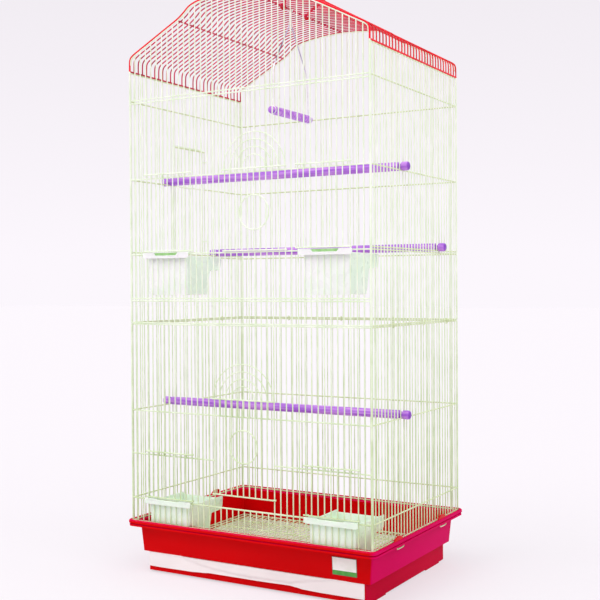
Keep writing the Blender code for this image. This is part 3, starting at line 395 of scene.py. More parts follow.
def roofLine():
    # the roof's section from the left eave to the right one, with its corners eased
    half = [Vector((x, z)) for x, z in roof["half"]]
    full = half + [Vector((width - p.x, p.y)) for p in half[-2::-1]]
    return roundCorners(full, roof["ease"], roof["easeSteps"])


def roofPath(y):
    return [at(p.x, y, p.y) for p in roofLine()]


def roofHeight(x):
    line = roofLine()
    for a, b in zip(line, line[1:]):
        if a.x <= x <= b.x and b.x > a.x:
            return a.y + (b.y - a.y) * (x - a.x) / (b.x - a.x)
    return levels["eave"]


def openSpans(u, low, high, holes):
    # what the openings, each (start, end, bottom, top), leave of an upright at u
    spans = [(low, high)]
    for start, end, bottom, top in holes:
        if start < u < end:
            parts = [part for a, b in spans for part in ((a, min(b, bottom)), (max(a, top), b))]
            spans = [(a, b) for a, b in parts if b - a > 1]
    return spans


def addGrid(bm, toPoint, uprights, rails, holes=()):
    # uprights are (place, low, high, radius); rails are (height, start, end, radius), in the second material
    slack = wire["slack"]
    for u, low, high, radius in uprights:
        for a, b in openSpans(u, low, high, holes):
            addRod(bm, toPoint(u, a, -wire["sink"]), toPoint(u, b, -wire["sink"]), radius)
            for height, start, end, _ in rails:
                if a - slack <= height <= b + slack and start - slack <= u <= end + slack:
                    addWeld(bm, toPoint(u, height, 0.0))
    known = set(bm.faces)
    for height, start, end, radius in rails:
        addRod(bm, toPoint(start, height, wire["sink"]), toPoint(end, height, wire["sink"]), radius)
    markNew(bm, known)


def places(first, last):
    # where the wires from one number to another stand
    return [i * pitch for i in range(first, last + 1)]


doorSpan = {"lower": (15 * pitch, 25 * pitch), "upper": (17 * pitch, 27 * pitch)}
hatchSpan = {"lower_left": (3 * pitch, 11 * pitch), "lower_right": (30 * pitch, 38 * pitch),
             "upper_left": (3 * pitch, 11 * pitch), "upper_right": (29 * pitch, 37 * pitch)}
nestSpan = (11 * pitch, 19 * pitch)
sideEnds = (2.7, depth - 2.7)  # the side panels' first and last wires stand inside the corner wires
frontLook = [coatedWire, coatedWire]
# the back and side panels' rails take the painted shade of the shaded copy
panelLook = [coatedWire, shadedCoatedWire]


def radiusAt(u):
    return wire["corner"] if u in (0.0, width) else wire["upright"]


def frontWires(low, high):
    return [(u, low, high, radiusAt(u)) for u in places(0, cage["across"])]


def gableWires(low):
    wires = []
    for u in places(0, cage["across"]):
        top = roofHeight(u) - roof["gableGap"] if 0 < u < width else levels["eave"]
        wires.append((u, low, top, radiusAt(u)))
    return wires


def sideWires(low, high):
    spots = [sideEnds[0], *places(1, cage["along"] - 1), sideEnds[1]]
    return [(u, low, high, wire["upright"]) for u in spots]


def rail(height, start=0, end=width, radius=wire["rail"]):
    return (levels[height], start, end, radius)


def addGableRail(bm, y):
    # the rail under the roof wires, from eave to eave
    line = roofLine()
    path = []
    for i, p in enumerate(line):
        a, b = line[max(0, i - 1)], line[min(len(line) - 1, i + 1)]
        side = Vector((b.y - a.y, a.x - b.x)).normalized()
        path.append(at(p.x + side.x * roof["gableRail"], y, p.y + side.y * roof["gableRail"]))
    addBent(bm, path[1:-1], wire["rail"])


def front(u, z, inward):
    return at(u, inward, z)


def back(u, z, inward):
    return at(u, depth - inward, z)


def left(u, z, inward):
    return at(inward, u, z)


def right(u, z, inward):
    return at(width - inward, u, z)


# front panels, open behind the doors and hatches
cupRailRadius = 1.4
bm = bmesh.new()
doorLow, doorHigh = doorSpan["lower"]
holes = [(doorLow, doorHigh, levels["cupRail"], levels["lowRail"])]
holes += [(*hatchSpan[key], levels["cupRail"], levels["hatch"]) for key in ("lower_left", "lower_right")]
addGrid(bm, front, frontWires(levels["bottom"], levels["splitLow"]), [
    rail("bottom"), rail("cupRail", radius=cupRailRadius), rail("hatch", end=doorLow),
    rail("hatch", start=doorHigh), rail("lowRail"), rail("splitLow")], holes)
finishPiece("lowerFrontGrid", bm, frontLook, "cage", ["lower_front_panel"])

bm = bmesh.new()
spans = (doorSpan["upper"], hatchSpan["upper_left"], hatchSpan["upper_right"])
holes = [(*span, levels["upCup"], levels["upRail"]) for span in spans]
upperRails = ("splitHigh", "pairLow", "pairHigh", "upCup", "upRail", "frontTopLow", "frontTopHigh")
addGrid(bm, front, gableWires(levels["splitHigh"]), [rail(key) for key in upperRails], holes)
addGableRail(bm, 0.0)
finishPiece("upperFrontGrid", bm, frontLook, "cage",
            ["upper_front_sill", "upper_front_gable"] + ["upper_front_stile_" + c for c in "abcd"])

# back panels
lowerRails = ("bottom", "cupRail", "lowRail", "splitLow")
bm = bmesh.new()
addGrid(bm, back, frontWires(levels["bottom"], levels["splitLow"]), [rail(key) for key in lowerRails])
finishPiece("lowerBackGrid", bm, panelLook, "cage", ["lower_back_panel"])

bm = bmesh.new()
addGrid(bm, back, gableWires(levels["splitHigh"]), [
    rail(key) for key in ("splitHigh", "upCup", "upRail", "backTop")])
addGableRail(bm, depth)
finishPiece("upperBackGrid", bm, panelLook, "cage", ["upper_back_panel"])

# side panels, the left one open behind the nest door
for side, toPoint in (("left", left), ("right", right)):
    bm = bmesh.new()
    addGrid(bm, toPoint, sideWires(levels["bottom"], levels["splitLow"]), [
        rail(key, *sideEnds) for key in lowerRails])
    finishPiece(side + "LowerGrid", bm, panelLook, "cage", ["lower_%s_panel" % side])
    bm = bmesh.new()
    rails = [rail(key, *sideEnds) for key in ("splitHigh", "upCup", "upPair", "backTop", "sideTop")]
    holes = []
    if side == "left":
        rails += [rail("upRail", sideEnds[0], nestSpan[0]), rail("upRail", nestSpan[1], sideEnds[1])]
        rails += [rail("nest", *nestSpan)]
        holes = [(*nestSpan, levels["upPair"], levels["nest"])]
    else:
        rails += [rail("upRail", *sideEnds)]
    addGrid(bm, toPoint, sideWires(levels["splitHigh"], levels["sideTop"]), rails, holes)
    finishPiece(side + "UpperGrid", bm, panelLook, "cage", ["upper_%s_panel" % side])
print("wire panels done")

# roof: one bent wire repeated along the depth, with rails inside it
bm = bmesh.new()
addBent(bm, roofPath(pitch), roof["wire"])
first = bm.verts[:] + bm.edges[:] + bm.faces[:]
for i in range(2, cage["along"]):
    copied = bmesh.ops.duplicate(bm, geom=first)["geom"]
    bmesh.ops.translate(bm, verts=vertsOf(copied), vec=(0, (i - 1) * pitch / 1000, 0))
slopeRail = roofHeight(roof["railPlace"]) - roof["railDrop"]
for x, z in ((0.0, levels["eave"]), (roof["railPlace"], slopeRail), (width - roof["railPlace"], slopeRail),
             (width / 2, roof["ridgeRail"])):
    addRod(bm, at(x, 0, z), at(x, depth, z), roof["rail"])
    for y in places(0, cage["along"]):
        addWeld(bm, at(x, y, z + roof["weldLift"]), roof["weld"])
addBent(bm, roofPath(depth), roof["back"])
# the front edge and the right eave get the lit red, which is painted light
known = set(bm.faces)
addBent(bm, roofPath(0.0), roof["edge"])
addRod(bm, at(width, 0, levels["eave"]), at(width, depth, levels["eave"]), roof["edge"])
for y in places(0, cage["along"]):
    addWeld(bm, at(width, y, levels["eave"] + roof["weldLift"]), roof["edgeWeld"])
markNew(bm, known)
finishPiece("roofGrid", bm, [redWire, litRedEdge], "cage", ["roof_grille"])
print("roof done")


# sliding doors and hatches: a lattice in front of the wires, with hooks round the guide wires
door = {"out": -2.7, "bar": 1.2, "reach": 3.4, "sink": 0.5,
        "hook": 0.95, "hookIn": 2.9, "hookBack": 2.5, "hookEnd": 1.0, "hookBend": 0.0012,
        "circle": 1.25, "arc": 0.85, "arcs": (58.0, 46.0, 34.0, 22.0), "arcSteps": 24,
        "lower": {"foot": 22.0, "top": 179.0, "circleHeight": 103.0, "circleRadius": 27.0},
        "upper": {"foot": levels["upCup"] + 2.7, "top": 553.0, "circleHeight": 482.0, "circleRadius": 28.0}}
hatch = {"lower": {"foot": 4.8, "top": 82.5}, "upper": {"foot": levels["upCup"] + 4.8, "top": 553.5}}


def buildDoor(name, body, span, form):
    bm = bmesh.new()
    a, b = span
    low, high = form["foot"], form["top"]

    def toPoint(u, z, inward):
        return at(u, door["out"] + inward * door["sink"], z)

    uprights = [(a + k * pitch, low, high, wire["upright"]) for k in range(1, round((b - a) / pitch))]
    addGrid(bm, toPoint, uprights, [
        (z, a - door["reach"], b + door["reach"], door["bar"]) for z in (low, high)])
    for z in (low, high):
        for guide, s in ((a, 1), (b, -1)):
            x = guide + s * door["hookIn"]
            hook = [at(x, door["out"], z), at(x, door["hookBack"], z),
                    at(guide - s * door["hookEnd"], door["hookBack"], z)]
            addBent(bm, roundCorners(hook, door["hookBend"], 3), door["hook"])
            addWeld(bm, at(x, door["out"], z))
    if "circleRadius" in form:
        # a ring in the lattice, and arches over its top bar
        centre = (a + b) / 2
        middle = at(centre, door["out"], form["circleHeight"])
        addRing(bm, middle, form["circleRadius"], door["circle"], steps=40)
        for radius in door["arcs"]:
            turns = [math.pi * k / door["arcSteps"] for k in range(door["arcSteps"] + 1)]
            addBent(bm, [at(centre - radius * math.cos(t), door["out"], high + radius * math.sin(t))
                         for t in turns], door["arc"])
            for s in (-1, 1):
                addWeld(bm, at(centre + s * radius, door["out"], high))
    finishPiece(name, bm, frontLook, body, [body])


for half in ("lower", "upper"):
    buildDoor(half + "DoorGrid", half + "_door", doorSpan[half], door[half])
for key, span in hatchSpan.items():
    buildDoor("hatchGrid_" + key, "hatch_" + key, span, hatch[key[:5]])

# nest door on the left side, hinged on a panel wire by two eyes
nest = {"out": -2.7, "low": 427.0, "top": 621.0, "front": 123.7, "rear": 214.6, "frontBar": 1.2,
        "rearBar": 1.3, "eyes": (449.0, 599.0), "eye": 3.1, "eyeWire": 0.95}


def onNest(u, z, inward):
    return at(nest["out"] + inward * door["sink"], u, z)


bm = bmesh.new()
frontBar = nest["front"] + nest["frontBar"]
uprights = [(frontBar, nest["low"], nest["top"], nest["frontBar"]),
            (nest["rear"], nest["low"], nest["top"], nest["rearBar"])]
uprights += [(u, nest["low"], nest["top"], wire["upright"]) for u in places(12, 18)]
addGrid(bm, onNest, uprights, [
    (z, frontBar, nest["rear"], door["bar"]) for z in (nest["low"], levels["upRail"], nest["top"])])
for z in nest["eyes"]:
    addRing(bm, at(0.0, nestSpan[1], z), nest["eye"], nest["eyeWire"], (0, 0, 1), 20)
finishPiece("nestDoorGrid", bm, frontLook, "nest_door", ["nest_door"])

# small hooks that hold the two halves of the wire body together
joiner = {"low": 297.0, "high": 304.6, "in": 1.8, "out": -1.6, "bend": 0.0015, "wire": 0.8, "sides": 6,
          "left": (155, 275), "right": (78, 197, 297), "back": (110, 226, 335)}
bm = bmesh.new()
for side, toPoint in (("left", left), ("right", right), ("back", back)):
    for u in joiner[side]:
        path = [toPoint(u, joiner["low"], joiner["in"]), toPoint(u, joiner["low"], joiner["out"]),
                toPoint(u, joiner["high"], joiner["out"]), toPoint(u, joiner["high"], joiner["in"])]
        addBent(bm, roundCorners(path, joiner["bend"], 3), joiner["wire"], joiner["sides"])
finishPiece("joiningHooks", bm, [shadedCoatedWire], "cage")
print("doors, hatches and nest door done")

# floor grille on the ledge inside the tub: wires from front to back, lying on cross wires
grille = {"left": 16.2, "front": 20.7, "z": -90.4, "wire": 1.15, "edgeWire": 1.3, "crossWire": 1.2,
          "count": 42, "cross": 7, "over": 0.3, "under": 0.2, "weld": 1.35}
bm = bmesh.new()
count = grille["count"]
step = (width - 2 * grille["left"]) / count
for i in range(count + 1):
    x, z = grille["left"] + i * step, grille["z"] + grille["over"]
    radius = grille["edgeWire"] if i in (0, count) else grille["wire"]
    addRod(bm, at(x, grille["front"], z), at(x, depth - grille["front"], z), radius)
for k in range(grille["cross"]):
    y = grille["front"] + (depth - 2 * grille["front"]) * k / (grille["cross"] - 1)
    z = grille["z"] - grille["under"]
    addRod(bm, at(grille["left"], y, z), at(width - grille["left"], y, z), grille["crossWire"])
    for i in range(count + 1):
        addWeld(bm, at(grille["left"] + i * step, y, grille["z"]), grille["weld"])
finishPiece("floorGrid", bm, [shadedCoatedWire], "cage", ["floor_grille"])


# base: rings of the tub's section drawn up from the plinth, over the rim and down inside; pairs
# are insets from the wires, at the sides and at front and back
tub = {"plinth": (20.0, 17.8), "wallIn": (10.0, 14.5), "wallTop": (5.4, 11.5), "rimOut": (8.5, 9.5),
       "skin": 2.6, "low": -127.2, "trayFloor": -115.5, "wallLow": -94.5, "skirt": -48.5, "seat": -41.2,
       "rimTop": -38.0, "cornerSteps": 6, "slotSide": 0.5, "slotLow": 0.4, "slotTop": 0.3, "edge": 0.7}
foot = {"in": 0.5, "wide": 10.0, "spans": ((32.0, 90.0), (250.0, 308.0)), "low": -130.0, "into": 1.5,
        "edge": 1.2}


def drawRings(bm, rings):
    # rings are (inset at the sides, inset at front and back, height, corner radius); each is drawn
    # out from the one before
    steps = tub["cornerSteps"] + 1

    def spot(k, x, y, z, radius):
        # where the point numbered k stands, counted round from the right side
        quarter, part = divmod(k, steps)
        angle = math.pi / 2 * (quarter + part / (steps - 1))
        cx = width / 2 + (width / 2 - x - radius) * (1 if quarter in (0, 3) else -1)
        cy = depth / 2 + (depth / 2 - y - radius) * (1 if quarter in (0, 1) else -1)
        return at(cx + radius * math.cos(angle), cy + radius * math.sin(angle), z)

    start = bmesh.ops.create_circle(bm, cap_ends=True, cap_tris=False, segments=4 * steps,
                                    radius=1.0)["verts"]
    order = sorted(start, key=lambda v: math.atan2(v.co.y, v.co.x) % (2 * math.pi))
    marks = {v: k for k, v in enumerate(order)}
    for v, k in marks.items():
        v.co = spot(k, *rings[0])
    edges = list(start[0].link_faces[0].edges)
    for ring in rings[1:]:
        verts, edges = drawOut(bm, edges)
        # a new point takes the number of the one it was drawn out of
        below = {v: next(e.other_vert(v) for e in v.link_edges if e.other_vert(v) in marks) for v in verts}
        marks = {v: marks[below[v]] for v in verts}
        for v, k in marks.items():
            v.co = spot(k, *ring)
    bmesh.ops.holes_fill(bm, edges=edges, sides=0)


def cutSlot(bm, y, low, high, bottom, top):
    # opens a rectangular hole in the wall that lies at y, and returns its edges
    first, last = at(low, y, bottom), at(high, y, top)

    def wall():
        # the wall's own faces at the height of the slot, with their middles
        faces = [(f, f.calc_center_median()) for f in bm.faces if abs(f.normal.y) > 0.9]
        return [(f, c) for f, c in faces
                if abs(c.y - first.y) < 1e-4 and first.z - 0.009 < c.z < last.z + 0.001]

    for point, normal in ((first, (1, 0, 0)), (last, (1, 0, 0)), (first, (0, 0, 1)), (last, (0, 0, 1))):
        faces = [f for f, _ in wall()]
        geom = faces + list({e for f in faces for e in f.edges}) + list({v for f in faces for v in f.verts})
        bmesh.ops.bisect_plane(bm, geom=geom, plane_co=point, plane_no=normal, dist=1e-7)
    inside = [f for f, c in wall() if first.x < c.x < last.x and first.z < c.z < last.z]
    rim = [e for f in inside for e in f.edges if sum(g in inside for g in e.link_faces) == 1]
    bmesh.ops.delete(bm, geom=inside, context="FACES_ONLY")
    return [e for e in rim if e.is_valid]


def rimRing(inset, z, corner):
    # a ring measured inwards from the rim's outer edge
    return (inset - tub["rimOut"][0], inset - tub["rimOut"][1], z, corner)


bm = bmesh.new()
px, py = tub["plinth"]
wx, wy = tub["wallIn"]
tx, ty = tub["wallTop"]
skin = tub["skin"]
drawRings(bm, [
    # underside and plinth
    (px + 3, py + 3, tub["trayFloor"] - skin, 1.0), (px + 3, py + 3, tub["low"], 1.0),
    (px, py, tub["low"], 2.4), (px, py, tub["wallLow"], 2.4),
    # leaning walls and the step above them
    (wx, wy, tub["wallLow"], 3.0), (tx + 0.5, ty + 0.5, -52.5, 3.5), (tx - 1.2, ty - 1.2, -51.5, 4.0),
    (tx - 1.6, ty - 1.6, -42.0, 4.0),
    # down inside the skirt, round its foot, and up the rim's face with its groove
    rimRing(5.4, -42.0, 8.0), rimRing(5.4, tub["skirt"], 8.0), rimRing(0.8, tub["skirt"], 12.0),
    rimRing(0.8, -45.4, 12.0), rimRing(3.2, -44.8, 11.0), rimRing(3.2, -43.6, 11.0),
    rimRing(0.0, -43.2, 12.0), rimRing(0.0, tub["rimTop"] - 1.6, 12.0), rimRing(1.4, tub["rimTop"], 11.0),
    # over the rim to the seat of the wire body
    (-4.4, -4.4, tub["rimTop"], 7.0), (-3.0, -3.0, tub["rimTop"] - 0.8, 5.0), (-3.0, -3.0, tub["seat"], 5.0),
    # down inside, over the ledge to the floor
    (tx + skin, ty + skin, tub["seat"], 3.0), (wx + skin, wy + skin, tub["wallLow"] + skin, 2.5),
    (px + skin, py + skin, tub["wallLow"] + skin, 0.4), (px + skin, py + skin, tub["trayFloor"], 0.4)])
bmesh.ops.recalc_face_normals(bm, faces=bm.faces)
# the drawer's slot goes through the outer and the inner face of the front wall
slotSpan = (px + skin + tub["slotSide"], width - px - skin - tub["slotSide"],
            tub["trayFloor"] + tub["slotLow"], tub["wallLow"] - tub["slotTop"])
edges = cutSlot(bm, py, *slotSpan) + cutSlot(bm, py + skin, *slotSpan)
bmesh.ops.bridge_loops(bm, edges=edges)
# low feet at the sides of the plinth
for x0 in (px + foot["in"], width - px - foot["in"] - foot["wide"]):
    for y0, y1 in foot["spans"]:
        addBlock(bm, (x0, y0, foot["low"]), (x0 + foot["wide"], y1, tub["low"] + foot["into"]), foot["edge"])
base = finishPiece("tub", bm, [redPlastic], "cage", ["base_tub"], 35)
softenEdges(base, tub["edge"])

# half round tabs that hold the wire body on the rim
tab = {"places": (82.0, 258.0), "half": 16.0, "rise": 8.4, "inner": 4.2, "outer": 6.6, "sides": 32,
       "centre": tub["rimTop"] - 1.5, "cut": tub["rimTop"] - 1.4, "edge": 0.8}
bm = bmesh.new()
for x0, x1 in ((-tab["outer"], -tab["inner"]), (width + tab["inner"], width + tab["outer"])):
    for y in tab["places"]:
        lie = Matrix.Translation(at(x0, y, tab["centre"])) @ Matrix.Rotation(math.pi / 2, 4, "Y")
        lie = lie @ Matrix.Diagonal((tab["rise"] / 1000, tab["half"] / 1000, 1, 1))
        disc = bmesh.ops.create_circle(bm, cap_ends=True, cap_tris=False, segments=tab["sides"],
                                       radius=1.0, matrix=lie)["verts"]
        made = bmesh.ops.extrude_face_region(bm, geom=[disc[0].link_faces[0]])["geom"]
        bmesh.ops.translate(bm, verts=vertsOf(made), vec=((x1 - x0) / 1000, 0, 0))
bmesh.ops.bisect_plane(bm, geom=bm.verts[:] + bm.edges[:] + bm.faces[:], plane_co=at(0, 0, tab["cut"]),
                       plane_no=(0, 0, 1), clear_inner=True)
bmesh.ops.holes_fill(bm, edges=[e for e in bm.edges if e.is_boundary], sides=0)
tabs = finishPiece("rimTabs", bm, [redHandle], "cage", (), 35)
softenEdges(tabs, tab["edge"], segments=3)

# wire clips under the rim
clip = {"shift": 13.0, "half": 13.5, "drop": 4.6, "run": 2.0, "out": 2.6, "wire": 1.1, "bend": 0.004,
        "top": tub["skirt"] - 0.3}
bm = bmesh.new()
for x in (-clip["out"], width + clip["out"]):
    for place in tab["places"]:
        y, z = place + clip["shift"], clip["top"]
        path = [at(x, y - clip["half"], z), at(x, y - clip["half"] + clip["run"], z - clip["drop"]),
                at(x, y + clip["half"] - clip["run"], z - clip["drop"]), at(x, y + clip["half"], z)]
        addBent(bm, roundCorners(path, clip["bend"]), clip["wire"])
clips = ["base_clip_%s_%s" % (s, e) for s in ("left", "right") for e in ("front", "back")]
finishPiece("rimClips", bm, [coatedWire], "cage", clips)
print("base done")

# pull-out drawer: a hollowed tray
drawer = {"left": 23.7, "front": 17.4, "back": 324.0, "floor": -115.2, "top": -95.7, "wall": 2.0,
          "edge": 0.6}
bm = bmesh.new()
addBlock(bm, (drawer["left"], drawer["front"], drawer["floor"]),
         (width - drawer["left"], drawer["back"], drawer["top"]))
bmesh.ops.recalc_face_normals(bm, faces=bm.faces)
top = [f for f in bm.faces if f.normal.z > 0.9]
bmesh.ops.inset_region(bm, faces=top, thickness=drawer["wall"] / 1000)
made = bmesh.ops.extrude_face_region(bm, geom=top)["geom"]
bmesh.ops.delete(bm, geom=top, context="FACES_ONLY")
sunk = (drawer["floor"] - drawer["top"] + drawer["wall"]) / 1000
bmesh.ops.translate(bm, verts=vertsOf(made), vec=(0, 0, sunk))
tray = finishPiece("drawerTray", bm, [whitePlastic], "drawer", ["drawer"], 35)
softenEdges(tray, drawer["edge"])

# its front plate: a sheet whose foot follows one curve, and which swells out above another, as (x, z)
plate = {"left": 22.0, "top": -95.1, "face": 15.6, "swell": 2.2, "thick": 1.7, "edge": 0.4,
         "columns": 140, "rows": 14, "sheetLow": -119.0, "sheetTall": 24.0, "blend": 1.3, "steep": 2.5,
         "foot": [(22, -119.6), (44, -119.8), (110, -119.2), (132, -118.0), (150, -116.7), (242, -116.6),
                  (305, -115.7), (316, -116.8), (330, -118.6), (362, -119.3), (438, -119.4)],
         "curve": [(22, -94.0), (85, -96.0), (112, -101.0), (140, -106.0), (165, -108.6), (210, -111.0),
                   (260, -111.2), (305, -110.2), (322, -106.5), (353, -101.0), (390, -96.0), (438, -94.0)]}


def follow(points, x):
    # the height of a curve at x, eased between its points
    for (x0, z0), (x1, z1) in zip(points, points[1:]):
        if x0 <= x <= x1:
            t = (x - x0) / (x1 - x0)
            return z0 + (z1 - z0) * t * t * (3 - 2 * t)
    return points[-1][1]


bm = bmesh.new()
middleHeight = plate["sheetLow"] + plate["sheetTall"] / 2
lie = Matrix.Translation(at(width / 2, plate["face"], middleHeight)) @ Matrix.Rotation(math.pi / 2, 4, "X")
lie = lie @ Matrix.Diagonal(((width - 2 * plate["left"]) / 1000, plate["sheetTall"] / 1000, 1, 1))
bmesh.ops.create_grid(bm, x_segments=plate["columns"], y_segments=plate["rows"], size=0.5, matrix=lie)
for v in bm.verts:
    x, z = v.co.x * 1000 + width / 2, v.co.z * 1000 - cage["lift"]
    low = follow(plate["foot"], x)
    z = low + (plate["top"] - low) * (z - plate["sheetLow"]) / plate["sheetTall"]
    above = (z - follow(plate["curve"], x)) / plate["blend"]
    swollen = 1 / (1 + math.exp(-above * plate["steep"]))
    v.co = at(x, plate["face"] - plate["swell"] * swollen, z)
frontPlate = finishPiece("drawerFront", bm, [whitePlastic], "drawer", (), 60)
if frontPlate.data.polygons[0].normal.y > 0:
    frontPlate.data.flip_normals()
giveWall(frontPlate, plate["thick"])
softenEdges(frontPlate, plate["edge"], angle=50)
print("drawer done")

# seed cups: a tapered box whose side walls run back into wings, with a flange in front
cup = {"half": 41.0, "mouthHalf": 43.0, "widenFrom": 5.0, "widenOver": 90.0, "top": 2.6, "wall": 1.7,
       "fold": 3.0, "edge": 0.4,
       "centres": {"lower_left": 77.0, "lower_right": 390.5, "upper_left": 77.0, "upper_right": 383.0}}
lip = {"half": 47.5, "notch": 23.0, "dip": {"lower": 1.4, "upper": -2.4}, "foot": -5.6, "tip": -7.2,
       "cut": 4.0, "face": -5.4, "thick": 1.8, "tongue": 33.0, "tongueHalf": 9.0, "edge": 0.4}
# the section's outer line from the front's top, down, back and up to the mouth, as (y, height)
cupBack = [(57.5, -69.0), (66.5, -28.6), (91.0, -27.4), (97.0, -24.5), (99.0, -19.0), (99.0, -8.4)]
cupLine = {"upper": [(1.5, cup["top"]), (1.5, -69.0), *cupBack],
           "lower": [(1.5, cup["top"]), (1.5, -38.6), (18.6, -41.6), (18.6, -69.0), *cupBack]}
# a side wall's own top edge, from the ear at the back to the front
cupEar = [(97.5, -4.2), (92.0, -4.0), (30.0, -4.0), (4.2, -3.6), (3.4, cup["top"])]


def cupHalf(y):
    share = max(0.0, min(1.0, (y - cup["widenFrom"]) / cup["widenOver"]))
    return cup["half"] + (cup["mouthHalf"] - cup["half"]) * share


def addChain(bm, chain, points, x, s, z):
    # goes on from the last point of a chain along one side of the cup at x
    for y, rise in points:
        chain.append(bmesh.ops.extrude_vert_indiv(bm, verts=[chain[-1]])["verts"][0])
        chain[-1].co = at(x + s * cupHalf(y), y, z + rise)


def nearest(bm, x, s, y, z):
    # the point on side s of the cup at x that lies closest to a place on its section
    wanted = at(x + s * cupHalf(y), y, z)
    sameSide = [v for v in bm.verts if v.co.x * s > at(x, 0, 0).x * s]
    return min(sameSide, key=lambda v: (v.co - wanted).length)


for key, x in cup["centres"].items():
    level = key[:5]
    z = levels["upCup"] if level == "upper" else levels["cupRail"]
    line = cupLine[level]
    bm = bmesh.new()
    # floor and walls across the cup, drawn along the section
    chain = [bm.verts.new(at(x - cupHalf(line[0][0]), line[0][0], z + line[0][1]))]
    addChain(bm, chain, line[1:], x, -1, z)
    across = bmesh.ops.extrude_edge_only(bm, edges=bm.edges[:])["geom"]
    for v in vertsOf(across):
        y = v.co.y * 1000 + depth / 2
        v.co.x = at(x + cupHalf(y), 0, 0).x
    # side walls: each closes the section with its own top edge
    for s in (-1, 1):
        row = [nearest(bm, x, s, y, z + rise) for y, rise in line]
        chain = [row[-1]]
        addChain(bm, chain, cupEar, x, s, z)
        bm.faces.new(row + chain[1:])
    bmesh.ops.recalc_face_normals(bm, faces=bm.faces)
    folds = [e for e in bm.edges if len(e.link_faces) == 2 and e.calc_face_angle(0) > 1.2
             and any(abs(f.normal.x) > 0.8 for f in e.link_faces)]
    bmesh.ops.bevel(bm, geom=folds, offset=cup["fold"] / 1000, segments=3, profile=0.5, affect="EDGES",
                    material=-1)
    body = "cup_" + key
    shell = finishPiece("cupShell_" + key, bm, [mintPlastic], body, [body], 40)
    giveWall(shell, cup["wall"])
    softenEdges(shell, cup["edge"], angle=45)
    # flange over the wires, with a notch in the middle of its top edge
    bm = bmesh.new()
    half, notch, top, dip = lip["half"], lip["notch"], cup["top"], lip["dip"][level]
    shape = [(-half, top), (-notch - 3, top), (-notch + 2, dip), (notch - 2, dip), (notch + 3, top),
             (half, top), (half, lip["foot"]), (half - lip["cut"], lip["tip"]),
             (-half + lip["cut"], lip["tip"]), (-half, lip["foot"])]
    ring = [bm.verts.new(at(x + dx, lip["face"], z + dz)) for dx, dz in shape]
    made = bmesh.ops.extrude_face_region(bm, geom=[bm.faces.new(ring)])["geom"]
    bmesh.ops.translate(bm, verts=vertsOf(made), vec=(0, lip["thick"] / 1000, 0))
    # two tongues over the rail join it to the cup
    for s in (-1, 1):
        start, end = x + s * lip["tongue"] - lip["tongueHalf"], x + s * lip["tongue"] + lip["tongueHalf"]
        addBlock(bm, (start, -4.6, z + 1.6), (end, 2.1, z + top))
    known = set(bm.faces)
    if level == "upper":
        # a strip behind the notch that carries the painted shade seen through it
        addBlock(bm, (x - notch, -3.9, z - 4.0), (x + notch, -2.5, z + 2.2))
    markNew(bm, known)
    flange = finishPiece("cupLip_" + key, bm, [mintPlastic, notchShadeMint], body, (), 40)
    softenEdges(flange, lip["edge"], segments=3)
print("seed cups done")

# perches: fluted bars whose waists sit on the side rails, with smooth caps outside
perch = {"radius": 7.2, "neck": 4.2, "rise": 1.5, "gap": 1.7, "flutes": 12, "groove": 0.93, "round": 0.6,
         "plain": 6.2, "places": {"perch_top": (9.5 * pitch, levels["upRail"]),
                                  "perch_middle": (22.5 * pitch, levels["upPair"]),
                                  "perch_low": (9.5 * pitch, levels["lowRail"])}}


def addPerch(bm, centre, axis, half, reach):
    # half is one half's outline as (distance, radius); flutes are pressed in up to reach from the
    # centre, where the bar is thicker than its plain radius
    profile = [(-d, r) for d, r in reversed(half)] + half
    addBent(bm, [centre + axis * d / 1000 for d, _ in profile], [r for _, r in profile], perch["flutes"] * 4)
    side = axis.orthogonal().normalized()
    for v in bm.verts:
        along = (v.co - centre).dot(axis)
        spoke = v.co - centre - axis * along
        angle = math.atan2(spoke.dot(axis.cross(side)), spoke.dot(side))
        if abs(along) * 1000 < reach and spoke.length > perch["plain"] / 1000:
            wave = 0.5 + 0.5 * math.cos(angle * perch["flutes"])
            share = perch["groove"] + (1 - perch["groove"]) * wave ** perch["round"]
            v.co = centre + axis * along + spoke * share


thick, neck = perch["radius"], perch["neck"]
inner, outer = width / 2 - perch["gap"], width / 2 + perch["gap"]
half = [(inner - 2.2, thick), (inner - 1.2, 6.6), (inner - 0.2, neck), (outer + 0.2, neck),
        (outer + 0.8, 6.8), (outer + 1.6, thick), (width / 2 + 11.5, thick), (width / 2 + 13.4, 6.4),
        (width / 2 + 14.6, 4.6), (width / 2 + 15.0, 2.4)]
for name, (y, height) in perch["places"].items():
    bm = bmesh.new()
    addPerch(bm, at(width / 2, y, height + perch["rise"] + neck), Vector((1, 0, 0)), half, inner - 1.5)
    finishPiece(name.replace("_", "") + "Bar", bm, [purplePlastic], "cage", [name], 40)

# swing: a plastic hook on the ridge rail, a bent wire frame and a short perch; half outlines are
# (distance from the middle, height) for the frame and (distance, radius) for the perch
swing = {"y": 13.5 * pitch, "ridge": 844.0, "ridgeRing": (4.3, 1.7), "hole": 816.0, "holeRing": (3.6, 1.5),
         "stem": (2.1, 1.7), "stemLow": 3.4, "stemTop": 4.0, "stemEdge": 0.8,
         "wire": 1.1, "bend": 0.006, "frame": [(61.0, 667.6), (57.0, 735.0), (45.0, 755.0), (9.0, 807.4),
                                               (5.0, 815.2)],
         "perch": 661.0, "half": 61.0, "eye": (6.4, 1.0), "fluteReach": 57.6,
         "bar": [(58.2, perch["radius"]), (59.4, 5.2), (62.6, 5.2), (63.4, 6.4), (66.0, 6.0), (67.4, 5.0),
                 (68.0, 3.2)]}
middle = width / 2
y, ridge, hole = swing["y"], swing["ridge"], swing["hole"]
stemX, stemY = swing["stem"]
bm = bmesh.new()
addRing(bm, at(middle, y, ridge), *swing["ridgeRing"], sides=10)
